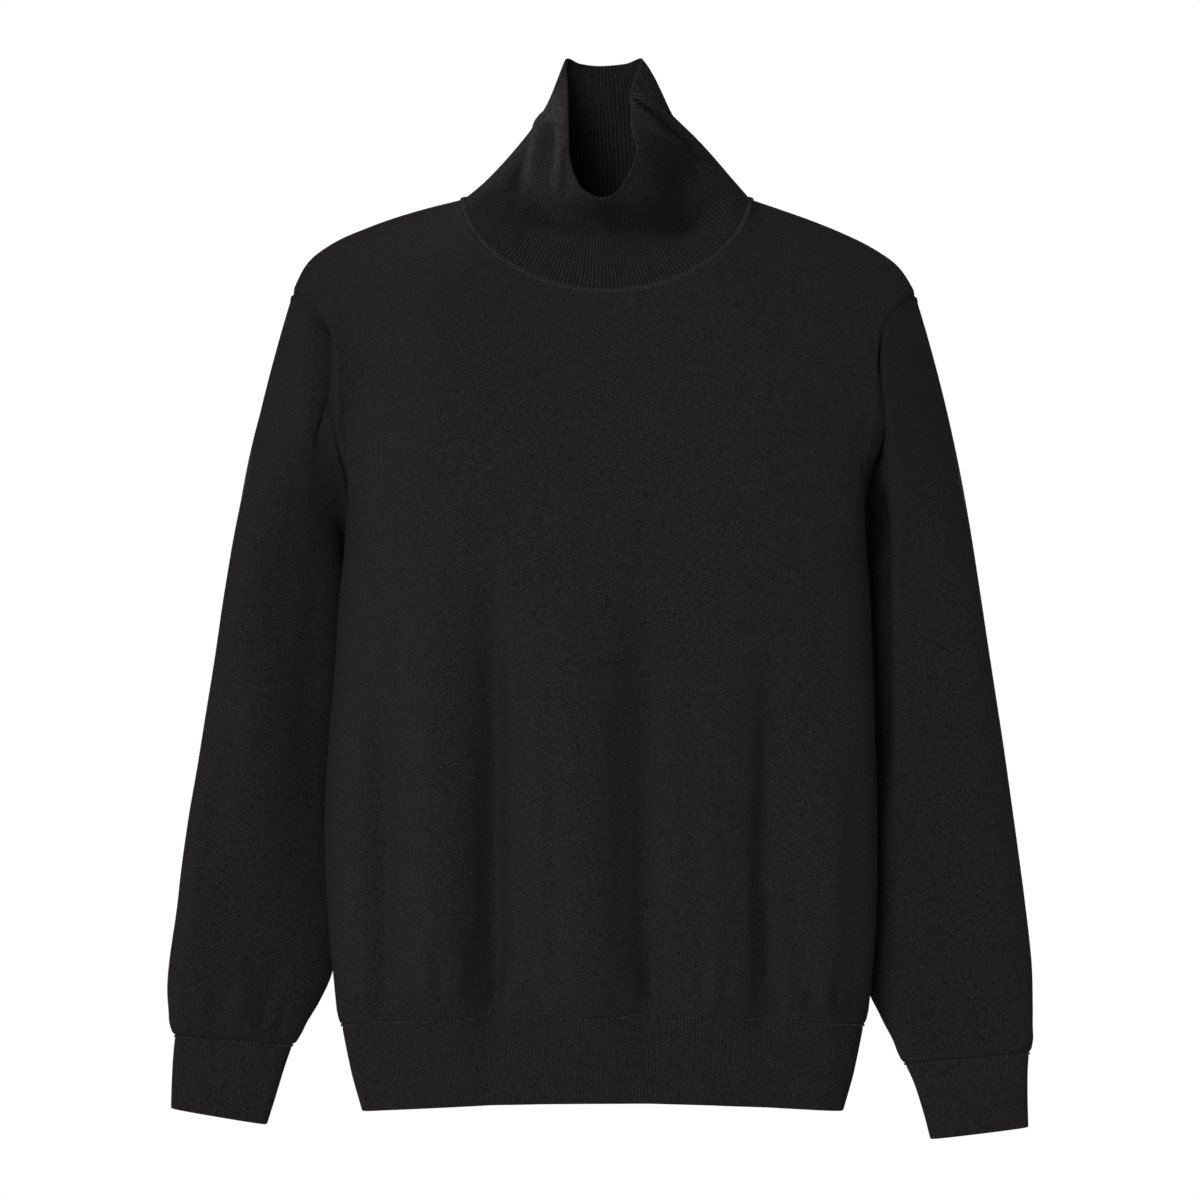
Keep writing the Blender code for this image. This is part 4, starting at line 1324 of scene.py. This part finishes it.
def knitted(name, tone, wale, stitch_relief, groove):
    """Charcoal wool: flecked yarn, small stitches in relief and a short dry nap, with painted shade
    in the stitch hollows and rib grooves, and painted light and shade on the collar.
    """
    material = bpy.data.materials.new(name)
    material.use_nodes = True
    tree = material.node_tree
    yarn = maths(tree, "MULTIPLY", fleck(tree, *MELANGE_GRAIN), 1.0 - CLOUD_SHARE)
    cloud = maths(tree, "MULTIPLY", fleck(tree, *CLOUD_GRAIN), CLOUD_SHARE)
    colour = fed(tree, "ShaderNodeValToRGB", {"Fac": maths(tree, "ADD", yarn, cloud)})
    ends = zip(colour.node.color_ramp.elements, MELANGE_ENDS, (1.0 - MELANGE, 1.0 + MELANGE))
    for element, at, share in ends:
        element.position = at
        element.color = (*(channel * tone * share for channel in CHARCOAL), 1.0)
    height, off = stitch_height(tree, wale, COURSE)
    hollows = fed(tree, "ShaderNodeMapRange", {"Value": height, "To Min": HOLLOW_SHADE})
    span = {
        "Value": off, "From Min": GROOVE_FROM, "From Max": 0.5,
        "To Min": 1.0, "To Max": 1.0 - groove,
    }
    between = fed(tree, "ShaderNodeMapRange", span, interpolation_type="SMOOTHSTEP")
    # painted light and shade kept on the collar, which brightens or darkens the yarn's colour
    painted_light_share = fed(tree, "ShaderNodeAttribute", gives="Fac", attribute_name="painted_light")
    darker = maths(tree, "MULTIPLY", hollows, between)
    shade = maths(tree, "MULTIPLY", darker, maths(tree, "ADD", painted_light_share, 1.0))
    mixed = {"Factor": 1.0, "A": colour, "B": shade}
    shaded = fed(tree, "ShaderNodeMix", mixed, data_type="RGBA", blend_type="MULTIPLY")
    nap = maths(tree, "MULTIPLY", fleck(tree, *NAP_GRAIN), NAP_SHARE)
    relief = {"Height": maths(tree, "ADD", height, nap), "Distance": stitch_relief * MM}
    feed(tree, tree.nodes["Principled BSDF"], {
        "Base Color": shaded,
        "Normal": fed(tree, "ShaderNodeBump", relief),
        "Roughness": ROUGHNESS,
        "Specular IOR Level": SPECULAR,
        "Sheen Weight": SHEEN,
        "Sheen Roughness": SHEEN_ROUGHNESS,
        "Sheen Tint": (*SHEEN_TINT, 1.0),
    })
    return material


jersey = knitted("jersey_knit", 1.0, WALE, JERSEY_RELIEF, 0.0)
# a darker copy of the jersey for the sleeves, with painted shade
shaded_sleeve_jersey = knitted("sleeve_jersey_knit_painted_shade", SLEEVE_PAINTED_SHADE, WALE, JERSEY_RELIEF, 0.0)
rib = knitted("rib_knit", RIB_TONE, RIB_STITCH, RIB_RELIEF, HEM_GROOVE_SHADE)
collar_knit = knitted(
    "collar_rib_knit", COLLAR_TONE, RIB_STITCH, RIB_RELIEF, COLLAR_GROOVE_SHADE
)
linking = knitted("linking_yarn", LINKING_TONE, RIB_STITCH, RIB_RELIEF, 0.0)
stitch_yarn = knitted("stitch_yarn", STITCH_TONE, RIB_STITCH, RIB_RELIEF, 0.0)

# Body: front and back panel, joined at the shoulders and the sides
panels, normals, places, armpit = finished_panels()
for facing, name in ((-1, "front_panel"), (1, "back_panel")):
    mesh = panel_mesh(panels[facing], normals[facing])
    worn(name, "_cloth", mesh, jersey)

# Sleeves and cuffs
sleeve_nets, sleeves, cuffs = {}, {}, {}
for side, name, sections, creases in (
    (-1, "sleeve_right", RIGHT_SLEEVE, RIGHT_SLEEVE_CREASES),
    (1, "sleeve_left", LEFT_SLEEVE, LEFT_SLEEVE_CREASES),
):
    edge = 0 if side < 0 else -1
    up_front = panels[-1][armpit::-1, edge]
    down_back = panels[1][1 : armpit + 1, edge]
    opening = np.concatenate([up_front, down_back])
    sleeve_nets[side] = finished_sleeve(sections, side, creases, opening)
    mesh = sleeve_mesh(sleeve_nets[side])
    sleeves[name] = worn(name, "_cloth", mesh, shaded_sleeve_jersey)

for side, name, sections in ((-1, "cuff_right", RIGHT_CUFF), (1, "cuff_left", LEFT_CUFF)):
    rings = cuff_rings(sections, sleeve_nets[side][-1])
    mesh = rib_mesh(rings, facing_out(rings, True), CUFF_RIB_RISE, CUFF_RIBS, True)
    cuffs[name] = worn(name, "_rib", mesh, rib)

# Hem rib, in halves that meet under the armpits
for facing, name in ((-1, "hem_rib_front"), (1, "hem_rib_back")):
    rows = hem_rows(facing, panels[facing][-1])
    mesh = rib_mesh(rows, facing_out(rows, False), HEM_RIB_RISE, HEM_RIBS, False)
    worn(name, "_rib", mesh, rib)

# Collar and the linking course at its foot
neck = (places >= SHOULDER_COLUMNS) & (places <= SHOULDER_COLUMNS + NECK_COLUMNS)
neck_edge, beside_neck = (
    np.concatenate([panels[-1][row, neck], panels[1][row, neck][-2:0:-1]])
    for row in (0, NECK_REACH_ROW)
)
collar_points, collar_painted_light = collar_sheet(neck_edge)
collar_out = facing_out(collar_points, True)
mesh = rib_mesh(collar_points, collar_out, COLLAR_RIB_RISE, COLLAR_RIBS, True)
# keeps the collar's painted light and shade on its mesh
note_painted_light(mesh, collar_painted_light)
collar = worn("collar", "_rib", mesh, collar_knit)
mesh = linking_mesh(collar_points, neck_edge, beside_neck)
neck_linking = worn("neck_seam", "_linking", mesh, linking)

# Rows of linking stitches over the hem and cuff seams
tree, shape = stitch_tree(), stitch_shape()
for facing, name in ((-1, "hem_rib_front"), (1, "hem_rib_back")):
    line, outward = panels[facing][-1], normals[facing][-1]
    stitch_row(
        name + "_stitches", tree, shape, line, outward, False, HEM_STITCH_SEED + facing, stitch_yarn
    )
for side, name in ((-1, "cuff_right"), (1, "cuff_left")):
    line, outward = sleeve_nets[side][-1], facing_out(sleeve_nets[side], True)[-1]
    stitch_row(
        name + "_stitches", tree, shape, line, outward, True, CUFF_STITCH_SEED + side, stitch_yarn
    )
bpy.data.objects.remove(shape)

# Floor, light and camera
floor_mesh = bpy.data.meshes.new("floor")
net = bmesh.new()
bmesh.ops.create_circle(net, cap_ends=True, radius=FLOOR_RADIUS, segments=FLOOR_SIDES)
bmesh.ops.translate(net, vec=(0.0, 0.0, FLOOR_LEVEL), verts=net.verts)
net.to_mesh(floor_mesh)
net.free()
pale = bpy.data.materials.new("pale_floor")
pale.use_nodes = True
painted = {"Base Color": (*FLOOR_COLOUR, 1.0), "Roughness": FLOOR_ROUGHNESS}
feed(pale.node_tree, pale.node_tree.nodes["Principled BSDF"], painted)
floor_mesh.materials.append(pale)
floor = into_scene("floor", floor_mesh)

world = bpy.data.worlds.new("studio")
world.use_nodes = True
sky = world.node_tree
seen = fed(sky, "ShaderNodeLightPath", gives="Is Camera Ray")
strength = {"Value": seen, "To Min": FILL_LIGHT, "To Max": 1.0}
glow = {"Color": (1.0, 1.0, 1.0, 1.0), "Strength": fed(sky, "ShaderNodeMapRange", strength)}
feed(sky, sky.nodes["Background"], glow)
bpy.context.scene.world = world


def hang_lamp(name, kind, strength, shines):
    """A lamp that shines along a direction."""
    lamp = into_scene(name, bpy.data.lights.new(name, kind))
    lamp.data.energy = strength
    lamp.rotation_euler = shines.to_track_quat("-Z", "Y").to_euler()
    return lamp


for name, (comes_from, strength, softness) in FAR_LAMPS.items():
    hang_lamp(name, "SUN", strength, -Vector(comes_from)).data.angle = np.radians(softness)

shines = Vector(COLLAR_LAMP_AIM) - Vector(COLLAR_LAMP_AT)
spot = hang_lamp("collar_lamp", "SPOT", COLLAR_LAMP_WATTS, shines)
spot.location = COLLAR_LAMP_AT
spot.data.spot_size = np.radians(COLLAR_LAMP_SPREAD)
spot.data.spot_blend = 1.0
spot.data.shadow_soft_size = COLLAR_LAMP_SIZE

camera = into_scene("camera", bpy.data.cameras.new("camera"))
camera.location = (CAMERA_X, -CAMERA_DISTANCE, CAMERA_Z)
camera.rotation_euler = (np.pi / 2, 0.0, 0.0)
camera.data.sensor_width = CAMERA_SENSOR
camera.data.lens = CAMERA_SENSOR * CAMERA_DISTANCE / VIEW_WIDTH
camera.data.clip_end = CAMERA_REACH
bpy.context.scene.camera = camera
bpy.context.scene.view_settings.view_transform = "Standard"
